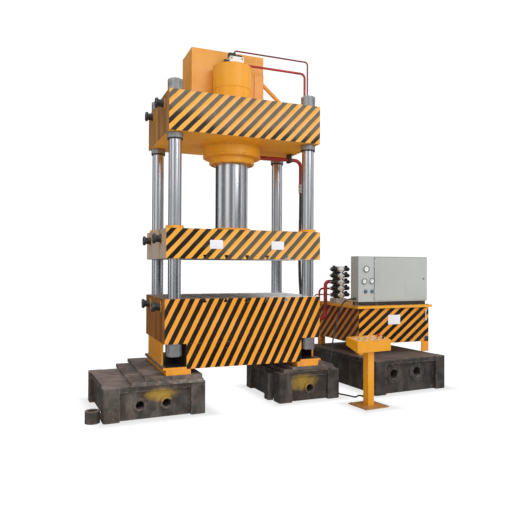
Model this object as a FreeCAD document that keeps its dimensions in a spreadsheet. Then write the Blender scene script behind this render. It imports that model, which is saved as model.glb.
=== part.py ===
"""Four-column hydraulic press with its hydraulic power unit, control pedestal and support blocks.

Millimetres. The origin is the floor point below the ram's axis, +X to the right along the
press's front, +Y to the back and +Z up.
"""
import FreeCAD, Part
import math
import os
import re
import Sketcher

Vector = FreeCAD.Vector
Rotation = FreeCAD.Rotation
Placement = FreeCAD.Placement

DIMS = {
    # support blocks, packing and bed
    "block_h": 364, "packing_t": 40, "foot_h": 61.5, "foot_w": 283, "foot_inset": 20,
    "bed_lower_h": 283.5, "bed_upper_h": 504, "bed_wall": 40, "bed_top_t": 120, "bed_room_y": 12.5,
    "nut_room": 39, "nut_room_in": 35.5, "base_plate_t": 25, "base_plate_over": 12,
    "side_leg_t": 25, "side_leg_d": 790,
    # columns and their nuts
    "col_dia": 148, "col_px": 1680, "col_py": 960, "nut_wall": 15, "col_top_nut_h": 135,
    "col_low_nut_h": 139, "col_collar_h": 78, "col_tail": 8, "nut_slot_w": 20, "nut_slot_d": 8,
    # slide
    "shut_height": 451.5, "slide_h": 342.5, "slide_wall": 36, "slide_room_x": 18, "slide_room_y": 3,
    "slide_low_t": 100, "slide_up_t": 50, "bush_wall": 16, "wiper_wall": 28, "wiper_h": 30,
    "tube_wall": 38, "rib_t": 30, "rib_dx": 330, "rib_dy": 300,
    # tee slots of the bed and the slide
    "tee_pitch": 255, "tee_neck": 28, "tee_neck_d": 25, "tee_head": 48, "tee_head_d": 22,
    # crown
    "crown_h": 462, "crown_wall": 40, "crown_plate_t": 60, "crown_room_x": 12.5, "crown_room_y": 41,
    # main cylinder and ram
    "stroke": 800, "ram_dia": 408, "ram_wall": 75, "ram_step": 29, "ram_seat_d": 40,
    "guide_wall": 11, "guide_h": 77, "end_gap": 5, "cyl_wall": 30, "cyl_cap_t": 120, "cyl_port_dia": 110,
    "shoulder_step": 115, "shoulder_h": 149.5, "lock_nut_wall": 75, "lock_nut_h": 110,
    "gland_wall": 70, "gland_h": 83, "gland_bolt_out": 30, "gland_bolt_dia": 24, "head_gap": 23,
    "piston_h": 150, "piston_seal_h": 14, "piston_seal_d": 10,
    "ram_flange_w": 41, "ram_flange_h": 30, "hub_over": 35, "flange_bolt_dia": 20, "bolt_head_h": 18,
    # lifting loops
    "loop_bar": 28, "loop_out": 100, "loop_h": 140, "loop_bend": 42, "loop_front_y": -330, "loop_back_y": 300,
    # top tank, prefill valve and pilot valves
    "ttank_w": 980, "ttank_d": 480, "ttank_over": 259, "ttank_y": 150, "ttank_sheet": 8, "ttank_gap": 12,
    "prefill_w": 180, "prefill_d": 160, "prefill_h": 130, "prefill_x": 40, "prefill_neck": 100,
    "brace_dia": 52, "brace_pad": 100,
    "pilot_coil_w": 90, "pilot_coil_d": 70, "pilot_coil_h": 58, "side_coil_r": 26, "side_coil_l": 58,
    "pilot_block_w": 70, "pilot_block_d": 60, "pilot_block_h": 42, "pilot_coil_x": 45, "pilot_block_x": 50,
    # pipes and the hose between the press and the power unit, with their offsets from the bed's side
    "pilot_dia": 20, "pressure_dia": 30, "return_dia": 50, "unit_pipe_dia": 56,
    "pilot_out": 104, "pressure_out": 62, "return_out": 57, "return_y": 100,
    "pilot_low": 700, "pressure_low": 780, "pressure_back_y": 930, "pilot_back_y": 980,
    "hose_dia": 40, "fitting_dia": 54, "fitting_len": 112, "low_fitting_len": 90, "clamp_t": 40,
    # power unit: tank, lid and valve stack
    "unit_x": 1830, "unit_y": -90, "unit_w": 1180, "unit_d": 1200, "unit_z": 590, "unit_leg_h": 146,
    "unit_h": 522, "unit_sheet": 8, "unit_leg_w": 127, "unit_leg_d": 90,
    "lid_over": 36, "lid_rim": 35, "lid_t": 8, "gauge_h": 155,
    "stack_x": 1950, "stack_y": 680, "stack_w": 120, "stack_d": 150, "valve_levels": 5, "valve_pitch": 96,
    "stack_base_h": 70, "valve_waist": 12, "solenoid_dia": 62, "solenoid_len": 88,
    "unit_pipe_y": 720, "unit_pipe_x": 1750, "unit_pipe_top": 1440, "unit_pipe_low": 900,
    # motor and pump
    "motor_x": 2500, "motor_y": 620, "motor_dia": 300, "motor_len": 420, "motor_axis_h": 200,
    "shaft_dia": 48, "bell_len": 120, "bell_dia": 250, "bell_wall": 12, "pump_len": 150, "pump_dia": 150,
    "pump_shaft_len": 60,
    # electric cabinet
    "cab_x": 1850, "cab_y": -45, "cab_w": 1170, "cab_d": 200, "cab_h": 637, "cab_foot_h": 55,
    "cab_sheet": 6, "strip_w": 256, "door_gap": 3, "door_t": 20, "door_hinge_gap": 8, "door_proud": 2,
    "knuckle_r": 6, "hinge_pin_r": 3, "knuckle_h": 60, "hinge_ear_h": 18,
    "lock_r": 9, "lock_inset": 50, "lock_reach": 57, "cam_t": 3, "lock_head_t": 5,
    "meter_dia": 90, "small_meter_dia": 80, "meter_rim_h": 16, "meter_deep": 60,
    "cab_button_dia": 46, "cab_button_h": 14,
    # pedestal
    "ped_x": 1416, "ped_y": -968, "ped_turn": 6, "ped_base": 345, "ped_base_t": 12, "ped_post": 90,
    "ped_post_wall": 5, "ped_box_w": 500, "ped_box_d": 216, "ped_low_front": 656, "ped_low_back": 722,
    "ped_top_front": 788, "ped_top_back": 822, "ped_sheet": 3, "ped_anchor_r": 7, "ped_anchor_inset": 30,
    "button_dia": 22, "button_proud": 9, "button_deep": 26, "button_travel": 4, "button_pitch": 92,
    "row_gap": 88, "stop_dia": 40,
    # cable
    "cable_dia": 20, "gland_len": 35, "gland_od": 34, "ped_gland_z": 90, "cab_gland_y": 30,
    "cab_gland_z": 1215,
    # clearances
    "run_gap": 0.05, "hole_gap": 0.3, "seat_gap": 0.05,
}

doc = FreeCAD.newDocument("press")
sheet = doc.addObject("Spreadsheet::Sheet", "dims")
for row, (alias, size) in enumerate(DIMS.items(), 1):
    sheet.set(f"A{row}", alias)
    sheet.set(f"B{row}", str(size))
    sheet.setAlias(f"B{row}", alias)
doc.recompute()

# heights and places that follow from the driving sizes, each an expression on the sheet's cells
DERIVED = {}


def expand(text):
    """Writes an expression's derived names out, and points its aliases at the sheet."""
    def swap(match):
        word = match.group()
        if word in DERIVED:
            return "(" + expand(DERIVED[word]) + ")"
        return "dims." + word if word in DIMS else word
    return re.sub(r"[a-z][a-z_0-9]*", swap, str(text))


def val(text):
    return float(sheet.evalExpression(expand(text)))


def point(x, y, z):
    return Vector(val(x), val(y), val(z))


DERIVED.update({
    "col_nut_dia": "col_dia + 2 * nut_wall",
    "wiper_dia": "col_dia + 2 * wiper_wall",
    "bed_w": "col_px + col_nut_dia + 2 * nut_room",
    "bed_d": "col_py + col_dia + 2 * bed_room_y",
    "bed_notch_w": "nut_room + col_nut_dia + nut_room_in",
    "slide_w": "col_px + wiper_dia + 2 * slide_room_x",
    "slide_d": "col_py + wiper_dia + 2 * slide_room_y",
    "crown_w": "col_px + col_nut_dia + 2 * crown_room_x",
    "crown_d": "col_py + col_nut_dia + 2 * crown_room_y",
    "bore_dia": "ram_dia + 2 * guide_wall",
    "cyl_dia": "bore_dia + 2 * cyl_wall",
    "shoulder_dia": "cyl_dia + 2 * shoulder_step",
    "lock_nut_dia": "cyl_dia + 2 * lock_nut_wall",
    "gland_dia": "bore_dia + 2 * gland_wall",
    "gland_bolt_pcd": "bore_dia + 2 * gland_bolt_out",
    "ram_neck_dia": "ram_dia - 2 * ram_step",
    "ram_flange_dia": "ram_dia + 2 * ram_flange_w",
    "flange_bolt_pcd": "ram_dia + ram_flange_w",
    "hub_dia": "ram_flange_dia + 2 * hub_over",
    "pilot_x": "bed_w / 2 + pilot_out",
    "pressure_x": "bed_w / 2 + pressure_out",
    "return_x": "bed_w / 2 + return_out",
    "bed_z": "block_h + 2 * packing_t + foot_h",
    "notch_z": "bed_z + bed_lower_h",
    "bed_top": "notch_z + bed_upper_h",
    "slide_z": "bed_top + shut_height",
    "slide_top": "slide_z + slide_h",
    "gland_z": "slide_top + stroke + ram_flange_h + head_gap",
    "shoulder_z": "gland_z + gland_h",
    "crown_z": "shoulder_z + shoulder_h",
    "crown_top": "crown_z + crown_h",
    "piston_z": "shoulder_z + guide_h + end_gap",
    "ram_z": "slide_top - ram_seat_d",
    "cyl_top": "piston_z + piston_h + stroke + 2 * end_gap + cyl_cap_t",
    "ram_bore": "ram_dia / 2 - ram_wall",
    "stack_z": "unit_z + unit_h + lid_t",
    "cab_z": "stack_z + cab_foot_h",
    "piston_r": "bore_dia / 2 - run_gap",
    "cavity_r": "ttank_gap + cyl_dia / 2",
    "motor_z": "stack_z + motor_axis_h",
    "door_left": "cab_x + strip_w + door_hinge_gap",
    "door_right": "cab_x + cab_w - 2 * cab_sheet - door_gap",
    "door_low": "cab_z + 2 * cab_sheet + door_gap",
    "door_high": "cab_z + cab_h - 2 * cab_sheet - door_gap",
    "packing_top": "block_h + 2 * packing_t",
    "ttank_h": "cyl_top - crown_top + ttank_over",
    "door_front": "cab_y - door_proud",
    "lock_z": "(door_low + door_high) / 2",
})


def bind(obj, **texts):
    for prop, text in texts.items():
        obj.setExpression(prop.replace("_at_", "."), expand(text))
    return obj


def seat(obj, corner):
    for axis, text in zip("xyz", corner):
        obj.setExpression("Placement.Base." + axis, expand(text))
    return obj


def box(name, size, corner):
    """A block by its size and its lowest corner."""
    obj = doc.addObject("Part::Box", name)
    bind(obj, Length=size[0], Width=size[1], Height=size[2])
    return seat(obj, corner)


def slab(name, size, middle, low):
    """A block by its size, the middle of its plan and its underside."""
    corner = [f"({place}) - ({span}) / 2" for place, span in zip(middle, size)]
    return box(name, size, corner + [low])


def rod(name, radius, length, base, axis=(0, 0, 1)):
    obj = doc.addObject("Part::Cylinder", name)
    bind(obj, Radius=radius, Height=length)
    obj.Placement.Rotation = Rotation(Vector(0, 0, 1), Vector(*axis))
    return seat(obj, base)


def fuse(name, pieces):
    if len(pieces) == 1:
        return pieces[0]
    obj = doc.addObject("Part::MultiFuse", name)
    obj.Shapes = pieces
    return obj


def cut(name, base, tools):
    obj = doc.addObject("Part::Cut", name)
    obj.Base = base
    obj.Tool = fuse(name + "_tools", tools)
    return obj


def ring(name, outer, inner, height, base, axis=(0, 0, 1)):
    """A plain ring or tube; the hole runs a little past both faces."""
    hole_base = [f"({place}) - {step}" for place, step in zip(base, axis)]
    return cut(name, rod(name + "_body", outer, height, base, axis),
               [rod(name + "_hole", inner, f"({height}) + 2", hole_base, axis)])


def group(name, pieces):
    obj = doc.addObject("Part::Compound", name)
    obj.Links = pieces
    return obj


def plane(body, role):
    return [item for item in body.Origin.OriginFeatures if item.Role == role][0]


def outline(body, name, role, points):
    """A closed sketch through points, each tied to the sheet by its two distances."""
    sketch = body.newObject("Sketcher::SketchObject", name)
    sketch.AttachmentSupport = (plane(body, role), [""])
    sketch.MapMode = "FlatFace"
    places = [Vector(val(across), val(up), 0) for across, up in points]
    count = len(places)
    for index in range(count):
        sketch.addGeometry(Part.LineSegment(places[index], places[(index + 1) % count]), False)
    for index in range(count):
        sketch.addConstraint(Sketcher.Constraint("Coincident", index, 2, (index + 1) % count, 1))
    for index, (across, up) in enumerate(points):
        for kind, text, place in (("DistanceX", across, places[index].x), ("DistanceY", up, places[index].y)):
            number = sketch.addConstraint(Sketcher.Constraint(kind, -1, 1, index, 1, place))
            sketch.setExpression(f"Constraints[{number}]", expand(text))
    return sketch


def turned(name, points):
    """A body of revolution about the vertical axis; points are radius and height."""
    body = doc.addObject("PartDesign::Body", name)
    sketch = outline(body, name + "_outline", "XZ_Plane", points)
    turn = body.newObject("PartDesign::Revolution", name + "_turn")
    turn.Profile = sketch
    turn.ReferenceAxis = (sketch, ["V_Axis"])
    turn.Angle = 360
    return body


def folded(name, points, length, start):
    """A profile across Y and Z, drawn out along X."""
    body = doc.addObject("PartDesign::Body", name)
    sketch = outline(body, name + "_outline", "YZ_Plane", points)
    pad = body.newObject("PartDesign::Pad", name + "_pad")
    pad.Profile = sketch
    bind(pad, Length=length)
    return seat(body, (start, "0", "0"))


def column_places():
    for across in (-1, 1):
        for along in (-1, 1):
            yield f"{across} * col_px / 2", f"{along} * col_py / 2"


def circle_places(pcd, count, first=0):
    for index in range(count):
        angle = first + index * 360 / count
        yield f"({pcd}) / 2 * cos({angle} deg)", f"({pcd}) / 2 * sin({angle} deg)"


def path(points, bend=None):
    """Straight runs joined by tangent arcs. With no bend given, each arc takes 0.45 of its shorter run."""
    edges = []
    radii = []
    start = points[0]
    for before, corner, after in zip(points, points[1:], points[2:]):
        back = (before - corner).normalize()
        ahead = (after - corner).normalize()
        half = back.getAngle(ahead) / 2
        shorter = min((before - corner).Length, (after - corner).Length)
        setback = bend / math.tan(half) if bend else 0.45 * shorter
        radius = setback * math.tan(half)
        middle = corner + (back + ahead).normalize() * (radius / math.sin(half) - radius)
        edges.append(Part.LineSegment(start, corner + back * setback).toShape())
        edges.append(Part.Arc(corner + back * setback, middle, corner + ahead * setback).toShape())
        start = corner + ahead * setback
        radii.append(radius)
    edges.append(Part.LineSegment(start, points[-1]).toShape())
    return Part.Wire(edges), radii


def swept(points, diameter, bend=None):
    wire, radii = path(points, bend)
    circle = Part.makeCircle(diameter / 2, points[0], points[1] - points[0])
    return wire.makePipeShell([Part.Wire([circle])], True, False), wire, radii


def drawn(name, shape):
    obj = doc.addObject("Part::Feature", name)
    obj.Shape = shape
    return obj


def pipe(name, points, diameter, bend, wall=4):
    outer = swept(points, val(diameter), bend)[0]
    inner = swept(points, val(diameter) - 2 * wall, bend)[0]
    return drawn(name, outer.cut(inner))


def cord(name, points, diameter):
    """A cord's tube; prints its arcs' radii and compares its volume with section times length."""
    solid, wire, radii = swept(points, diameter)
    expected = math.pi * diameter ** 2 / 4 * wire.Length
    print(name, "length", round(wire.Length), "radii", [round(radius) for radius in radii],
          "volume ratio", round(solid.Volume / expected, 4))
    return drawn(name, solid)


PIECES = {}


def keep(node, obj, base=None, turn=0):
    """Names a sub-part; base and turn place one that was drawn about its own origin."""
    if base:
        obj.Placement = Placement(base, Rotation(Vector(0, 0, 1), turn))
    obj.Label = node
    PIECES[node] = obj
    return obj


def tee_slots(name, depth, face, side):
    """Five tee slots, open at side (+1 up, -1 down) of the horizontal face."""
    tools = []
    for step in range(-2, 3):
        middle = (f"{step} * tee_pitch", "0")
        neck = face + (" - tee_neck_d" if side > 0 else " - 1")
        head = face + (" - tee_neck_d - tee_head_d" if side > 0 else " + tee_neck_d")
        tools.append(slab(name + "_neck", ("tee_neck", depth + " + 2", "tee_neck_d + 1"), middle, neck))
        tools.append(slab(name + "_head", ("tee_head", depth + " + 2", "tee_head_d"), middle, head))
    return tools


def beam(name, width, depth, height, low, wall, low_t, up_t, tube_r, hub_r=None):
    """A welded box beam: plates outside, column tubes, a hub and crossed ribs inside."""
    inner = (f"{width} - 2 * {wall}", f"{depth} - 2 * {wall}", f"{height} - {low_t} - {up_t}")
    floor = f"{low} + {low_t}"
    kept = [rod(name + "_tube", tube_r, inner[2], (x, y, floor)) for x, y in column_places()]
    for side in (-1, 1):
        kept.append(slab(name + "_rib", ("rib_t", inner[1], inner[2]), (f"{side} * rib_dx", "0"), floor))
        kept.append(slab(name + "_rib", (inner[0], "rib_t", inner[2]), ("0", f"{side} * rib_dy"), floor))
    if hub_r:
        kept.append(rod(name + "_hub", hub_r, inner[2], ("0", "0", floor)))
    cavity = cut(name + "_cells", slab(name + "_inside", inner, ("0", "0"), floor), kept)
    return cut(name + "_box", slab(name + "_outside", (width, depth, height), ("0", "0"), low), [cavity])


def column_holes(name, radius, height, low):
    return [rod(name, radius, height, (x, y, low)) for x, y in column_places()]


def build_bed():
    upper = beam("bed_upper", "bed_w", "bed_d", "bed_upper_h", "notch_z", "bed_wall", "bed_wall", "bed_top_t",
                 "col_dia / 2 + tube_wall")
    holes = column_holes("bed_column_hole", "col_dia / 2 + seat_gap", "bed_upper_h + 2", "notch_z - 1")
    keep("bed", cut("bed", upper, holes + tee_slots("bed_tee", "bed_d", "bed_top", 1)))
    lower_w = "bed_w - 2 * bed_notch_w"
    lower_h = "bed_lower_h - base_plate_t"
    lower_z = "bed_z + base_plate_t"
    lower = slab("bed_lower", (lower_w, "bed_d", lower_h), ("0", "0"), lower_z)
    hollow = slab("bed_lower_inside", (f"{lower_w} - 2 * bed_wall", "bed_d - 2 * bed_wall", lower_h),
                  ("0", "0"), lower_z)
    plate = slab("bed_base_plate", ("bed_w + 2 * base_plate_over", "bed_d", "base_plate_t"), ("0", "0"),
                 "bed_z")
    legs = [box("bed_side_leg", ("side_leg_t", "side_leg_d", lower_h), (x, "-side_leg_d / 2", lower_z))
            for x in ("-bed_w / 2", "bed_w / 2 - side_leg_t")]
    keep("bed_base", group("bed_base", [cut("bed_lower_box", lower, [hollow]), plate] + legs))
    feet = [slab("bed_foot", ("foot_w", "bed_d", "foot_h"),
                 (f"{side} * (bed_w / 2 - foot_inset - foot_w / 2)", "0"), "packing_top") for side in (-1, 1)]
    keep("bed_feet", group("bed_feet", feet))


def slotted_nut(name, x, y, height, low, first):
    """A round nut with four spanner slots."""
    body = ring(name, "col_nut_dia / 2", "col_dia / 2 + seat_gap", height, (x, y, low))
    slots = []
    for index in range(4):
        angle = first + 90 * index
        slot = slab(name + "_slot", ("2 * nut_slot_d", "nut_slot_w", f"({height}) / 2"), (x, y), low)
        slot.Placement.Rotation = Rotation(Vector(0, 0, 1), angle)
        reach = "(col_nut_dia / 2 - nut_slot_d)"
        seat(slot, (f"{x} + {reach} * cos({angle} deg) + nut_slot_w / 2 * sin({angle} deg)",
                    f"{y} + {reach} * sin({angle} deg) - nut_slot_w / 2 * cos({angle} deg)",
                    f"{low} + ({height}) / 4"))
        slots.append(slot)
    return cut(name + "_slotted", body, slots)


def build_columns():
    low = "notch_z - col_low_nut_h - col_tail"
    length = "crown_top + col_top_nut_h + col_tail - (" + low + ")"
    keep("columns", group("columns", [rod("column", "col_dia / 2", length, (x, y, low))
                                      for x, y in column_places()]))
    nuts = []
    for x, y in column_places():
        nuts.append(slotted_nut("top_nut", x, y, "col_top_nut_h", "crown_top", 20))
        nuts.append(slotted_nut("crown_collar", x, y, "col_collar_h", "crown_z - col_collar_h", 50))
        nuts.append(slotted_nut("bottom_nut", x, y, "col_low_nut_h", "notch_z - col_low_nut_h", 35))
    keep("column_nuts", group("column_nuts", nuts))


def lifting_loop(name, face_x, y, middle_z):
    """A bent bar whose two legs are welded square to the beam's left side."""
    low = val(middle_z) - val("loop_h - loop_bar") / 2
    high = val(middle_z) + val("loop_h - loop_bar") / 2
    near = val(face_x)
    far = near - val("loop_out - loop_bar / 2")
    corners = [Vector(near, y, low), Vector(far, y, low), Vector(far, y, high), Vector(near, y, high)]
    return drawn(name, swept(corners, val("loop_bar"), val("loop_bend"))[0])


def build_loops():
    rows = [val("loop_front_y"), val("loop_back_y")]
    fixed = [lifting_loop("crown_loop", "-crown_w / 2", y, "crown_top - 105") for y in rows]
    fixed += [lifting_loop("bed_loop", "-bed_w / 2", y, "bed_top - 100") for y in rows]
    keep("frame_lifting_loops", group("frame_lifting_loops", fixed))
    riding = [lifting_loop("slide_loop", "-slide_w / 2", y, "slide_top - 112") for y in rows]
    keep("slide_lifting_loops", group("slide_lifting_loops", riding))


def build_slide():
    bush_r = "(col_dia / 2 + run_gap + bush_wall)"
    shell = beam("slide_beam", "slide_w", "slide_d", "slide_h", "slide_z", "slide_wall", "slide_low_t",
                 "slide_up_t", bush_r + " + tube_wall / 2", "hub_dia / 2")
    holes = column_holes("slide_column_hole", bush_r + " + seat_gap", "slide_h + 2", "slide_z - 1")
    holes.append(rod("ram_seat", "ram_dia / 2 + seat_gap", "ram_seat_d + 1", ("0", "0", "ram_z")))
    holes += [rod("flange_bolt_hole", "flange_bolt_dia / 2 + seat_gap", "slide_up_t",
                  (x, y, "slide_top - slide_up_t + 1")) for x, y in circle_places("flange_bolt_pcd", 8)]
    keep("slide", cut("slide", shell, holes + tee_slots("slide_tee", "slide_d", "slide_z", -1)))
    keep("slide_bushes", group("slide_bushes", [
        ring("slide_bush", bush_r, "col_dia / 2 + run_gap", "slide_h", (x, y, "slide_z"))
        for x, y in column_places()]))
    keep("slide_wipers", group("slide_wipers", [
        ring("slide_wiper", "wiper_dia / 2", "col_dia / 2 + 3 * run_gap / 2", "wiper_h", (x, y, "slide_top"))
        for x, y in column_places()]))


def build_crown():
    shell = beam("crown_beam", "crown_w", "crown_d", "crown_h", "crown_z", "crown_wall", "crown_plate_t",
                 "crown_plate_t", "col_dia / 2 + tube_wall", "cyl_dia / 2 + tube_wall")
    holes = column_holes("crown_column_hole", "col_dia / 2 + seat_gap", "crown_h + 2", "crown_z - 1")
    holes.append(rod("cylinder_hole", "cyl_dia / 2 + seat_gap", "crown_h + 2", ("0", "0", "crown_z - 1")))
    keep("crown", cut("crown", shell, holes))


def build_cylinder():
    barrel = turned("cylinder_barrel", [
        ("bore_dia / 2", "shoulder_z"), ("shoulder_dia / 2", "shoulder_z"), ("shoulder_dia / 2", "crown_z"),
        ("cyl_dia / 2", "crown_z"), ("cyl_dia / 2", "cyl_top"), ("cyl_port_dia / 2", "cyl_top"),
        ("cyl_port_dia / 2", "cyl_top - cyl_cap_t"), ("bore_dia / 2", "cyl_top - cyl_cap_t")])
    port_z = "shoulder_z + shoulder_h / 2"
    holes = [rod("return_port", "return_dia / 2 + seat_gap", "shoulder_dia / 2",
                 ("bore_dia / 2 + 60", "return_y", port_z),
                 (1, 0, 0)),
             rod("return_way", "return_dia / 4", "shoulder_dia / 2",
                 ("bore_dia / 2 - 45", "return_y", port_z), (1, 0, 0))]
    holes += [rod("gland_bolt_hole", "gland_bolt_dia / 2 + seat_gap", "gland_h", (x, y, "shoulder_z - 1"))
              for x, y in circle_places("gland_bolt_pcd", 12, 15)]
    keep("main_cylinder", cut("main_cylinder", barrel, holes))
    keep("cylinder_lock_nut", ring("cylinder_lock_nut", "lock_nut_dia / 2", "cyl_dia / 2 + seat_gap",
                                   "lock_nut_h",
                                   ("0", "0", "crown_top")))
    gland = turned("gland_body", [
        ("ram_dia / 2 + hole_gap", "gland_z"), ("gland_dia / 2 - 12", "gland_z"),
        ("gland_dia / 2", "gland_z + 12"),
        ("gland_dia / 2", "shoulder_z"), ("ram_dia / 2 + hole_gap", "shoulder_z")])
    bolt_ways = []
    bolts = []
    for x, y in circle_places("gland_bolt_pcd", 12, 15):
        bolt_ways.append(rod("bolt_way", "gland_bolt_dia / 2 + seat_gap", "gland_h + 2",
                             (x, y, "gland_z - 1")))
        bolt_ways.append(rod("bolt_recess", "0.8 * gland_bolt_dia + hole_gap", "gland_bolt_dia + 1",
                             (x, y, "gland_z - 1")))
        bolts.append(fuse("gland_bolt", [
            rod("gland_bolt_head", "0.8 * gland_bolt_dia", "gland_bolt_dia", (x, y, "gland_z")),
            rod("gland_bolt_shank", "gland_bolt_dia / 2", "1.6 * gland_h", (x, y, "gland_z"))]))
    keep("gland_ring", cut("gland_ring", gland, bolt_ways))
    keep("gland_bolts", group("gland_bolts", bolts))
    keep("guide_bush", ring("guide_bush", "bore_dia / 2 - seat_gap", "ram_dia / 2 + run_gap", "guide_h",
                            ("0", "0", "shoulder_z")))


def build_ram():
    keep("ram", turned("ram", [
        ("0", "ram_z"), ("ram_dia / 2", "ram_z"), ("ram_dia / 2", "piston_z"),
        ("ram_neck_dia / 2", "piston_z"),
        ("ram_neck_dia / 2", "piston_z + piston_h"), ("ram_bore", "piston_z + piston_h"),
        ("ram_bore", "ram_z + ram_wall"), ("0", "ram_z + ram_wall")]))
    inner = "ram_neck_dia / 2 + seat_gap"
    groove_r = "piston_r - piston_seal_d"
    steps = [("piston_z", "piston_r")]
    seals = []
    for share in ("0.25", "0.75"):
        low = f"piston_z + {share} * piston_h - piston_seal_h / 2"
        steps += [(low, "piston_r"), (low, groove_r), (low + " + piston_seal_h", groove_r),
                  (low + " + piston_seal_h", "piston_r")]
        seals.append(ring("piston_seal", "piston_r", groove_r, "piston_seal_h", ("0", "0", low)))
    steps.append(("piston_z + piston_h", "piston_r"))
    profile = [(inner, "piston_z")] + [(radius, height) for height, radius in steps]
    keep("piston", turned("piston", profile + [(inner, "piston_z + piston_h")]))
    keep("piston_seals", group("piston_seals", seals))
    flange = ring("flange_ring", "ram_flange_dia / 2", "ram_dia / 2 + seat_gap", "ram_flange_h",
                  ("0", "0", "slide_top"))
    ways = []
    bolts = []
    for x, y in circle_places("flange_bolt_pcd", 8):
        ways.append(rod("flange_bolt_way", "flange_bolt_dia / 2 + seat_gap", "ram_flange_h + 2",
                        (x, y, "slide_top - 1")))
        bolts.append(fuse("flange_bolt", [
            rod("flange_bolt_head", "0.8 * flange_bolt_dia", "bolt_head_h",
                (x, y, "slide_top + ram_flange_h")),
            rod("flange_bolt_shank", "flange_bolt_dia / 2", "ram_flange_h + slide_up_t - 10",
                (x, y, "slide_top - slide_up_t + 10"))]))
    keep("ram_flange", cut("ram_flange", flange, ways))
    keep("ram_flange_bolts", group("ram_flange_bolts", bolts))


def build_top_tank():
    """The upper oil tank stands behind the cylinder, which sits in a round bay of its front."""
    inside = slab("top_tank_inside", ("ttank_w - 2 * ttank_sheet", "ttank_d - 2 * ttank_sheet",
                                      "ttank_h - 2 * ttank_sheet"),
                  ("0", "ttank_y + ttank_d / 2"), "crown_top + ttank_sheet")
    bay_h = "cyl_top + ttank_gap - crown_top"
    bay_skin = rod("bay_skin", "cavity_r + ttank_sheet", bay_h + " + ttank_sheet", ("0", "0", "crown_top"))
    hollow = cut("top_tank_hollow", inside, [bay_skin])
    outside = slab("top_tank_outside", ("ttank_w", "ttank_d", "ttank_h"), ("0", "ttank_y + ttank_d / 2"),
                   "crown_top")
    edges = [box("bay_edge", (width, "10", bay_h), (x, "ttank_y - 10", "crown_top"))
             for x, width in (("-0.77 * cavity_r - 40", "30"), ("ttank_w / 2 - 130", "130"))]
    bay = rod("bay", "cavity_r", bay_h, ("0", "0", "crown_top"))
    nut_room = rod("lock_nut_room", "lock_nut_dia / 2 + ttank_gap", "lock_nut_h + ttank_gap",
                   ("0", "0", "crown_top"))
    nut_skin = rod("nut_skin", "lock_nut_dia / 2 + ttank_gap + ttank_sheet",
                   "lock_nut_h + ttank_gap + ttank_sheet",
                   ("0", "0", "crown_top"))
    hollow = cut("top_tank_cavity", hollow, [nut_skin])
    shell = cut("top_tank_shell", fuse("top_tank_plates", [outside] + edges), [bay, nut_room, hollow])
    neck_z = "cyl_top + prefill_h / 2 + 5"
    shell = cut("top_tank_ported", shell, [rod("neck_port", "prefill_neck / 2 + seat_gap", "ttank_sheet + 2",
                                              ("prefill_x", "ttank_y - 1", neck_z), (0, 1, 0))])
    high = point("ttank_w / 2 - 4", "ttank_y + 60", "crown_top + 0.6 * ttank_h")
    low = point("ttank_w / 2 + 250", "ttank_y - 320", "crown_top")
    strut = Part.makeCylinder(val("brace_dia / 2"), (high - low).Length, low, high - low)
    above = Part.makeBox(2000, 2000, 2000, Vector(-1000, -1000, low.z))
    pad = Part.makeBox(val("brace_pad"), val("brace_pad"), 12,
                       low - Vector(val("brace_pad / 2"), val("brace_pad / 2"), 0))
    brace = drawn("tank_brace", strut.common(above).fuse(pad))
    keep("top_tank", fuse("top_tank", [shell, brace]))
    block = slab("prefill_block", ("prefill_w", "prefill_d", "prefill_h"), ("prefill_x", "0"), "cyl_top")
    neck = rod("prefill_neck", "prefill_neck / 2", "ttank_y + 40 + ttank_sheet",
               ("prefill_x", "-40", neck_z), (0, 1, 0))
    way = rod("prefill_way", "prefill_neck / 2 - 6", "ttank_y + ttank_sheet + 60",
              ("prefill_x", "-20", neck_z), (0, 1, 0))
    drop = rod("prefill_drop", "cyl_port_dia / 2 - 15", "prefill_h / 2",
               ("prefill_x - 20", "0", "cyl_top - 1"))
    keep("prefill_valve", cut("prefill_valve", fuse("prefill_body", [block, neck]), [way, drop]))


def build_valves():
    top = "cyl_top + prefill_h"
    solids = [slab("pilot_solenoid", ("pilot_coil_w", "pilot_coil_d", "pilot_coil_h"),
                   ("prefill_x - pilot_coil_x", "0"), top),
              slab("pilot_block", ("pilot_block_w", "pilot_block_d", "pilot_block_h"),
                   ("prefill_x + pilot_block_x", "0"), top),
              rod("pilot_coil", "side_coil_r", "side_coil_l",
                  ("prefill_x - prefill_w / 2 - side_coil_l", "0", "cyl_top + 0.6 * prefill_h"), (1, 0, 0))]
    base = slab("stack_base", ("stack_w + 60", "stack_d + 40", "stack_base_h"), ("stack_x", "stack_y"),
                "stack_z")
    blocks = [base]
    for level in range(int(val("valve_levels"))):
        low = f"stack_z + stack_base_h + {level} * valve_pitch"
        blocks.append(slab("stack_waist", ("stack_w - 24", "stack_d - 24", "valve_pitch"),
                           ("stack_x", "stack_y"), low))
        blocks.append(slab("stack_block", ("stack_w", "stack_d", "valve_pitch - valve_waist"),
                           ("stack_x", "stack_y"),
                           low + " + valve_waist"))
        coil_z = low + " + valve_waist / 2 + valve_pitch / 2"
        for side, start in ((-1, "stack_x - stack_w / 2 - solenoid_len"), (1, "stack_x + stack_w / 2")):
            solids.append(rod("stack_solenoid", "solenoid_dia / 2", "solenoid_len",
                              (start, "stack_y - stack_d / 2 + solenoid_dia / 2", coil_z), (1, 0, 0)))
    keep("valve_manifold", fuse("valve_manifold", blocks))
    keep("solenoid_valves", group("solenoid_valves", solids))


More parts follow.
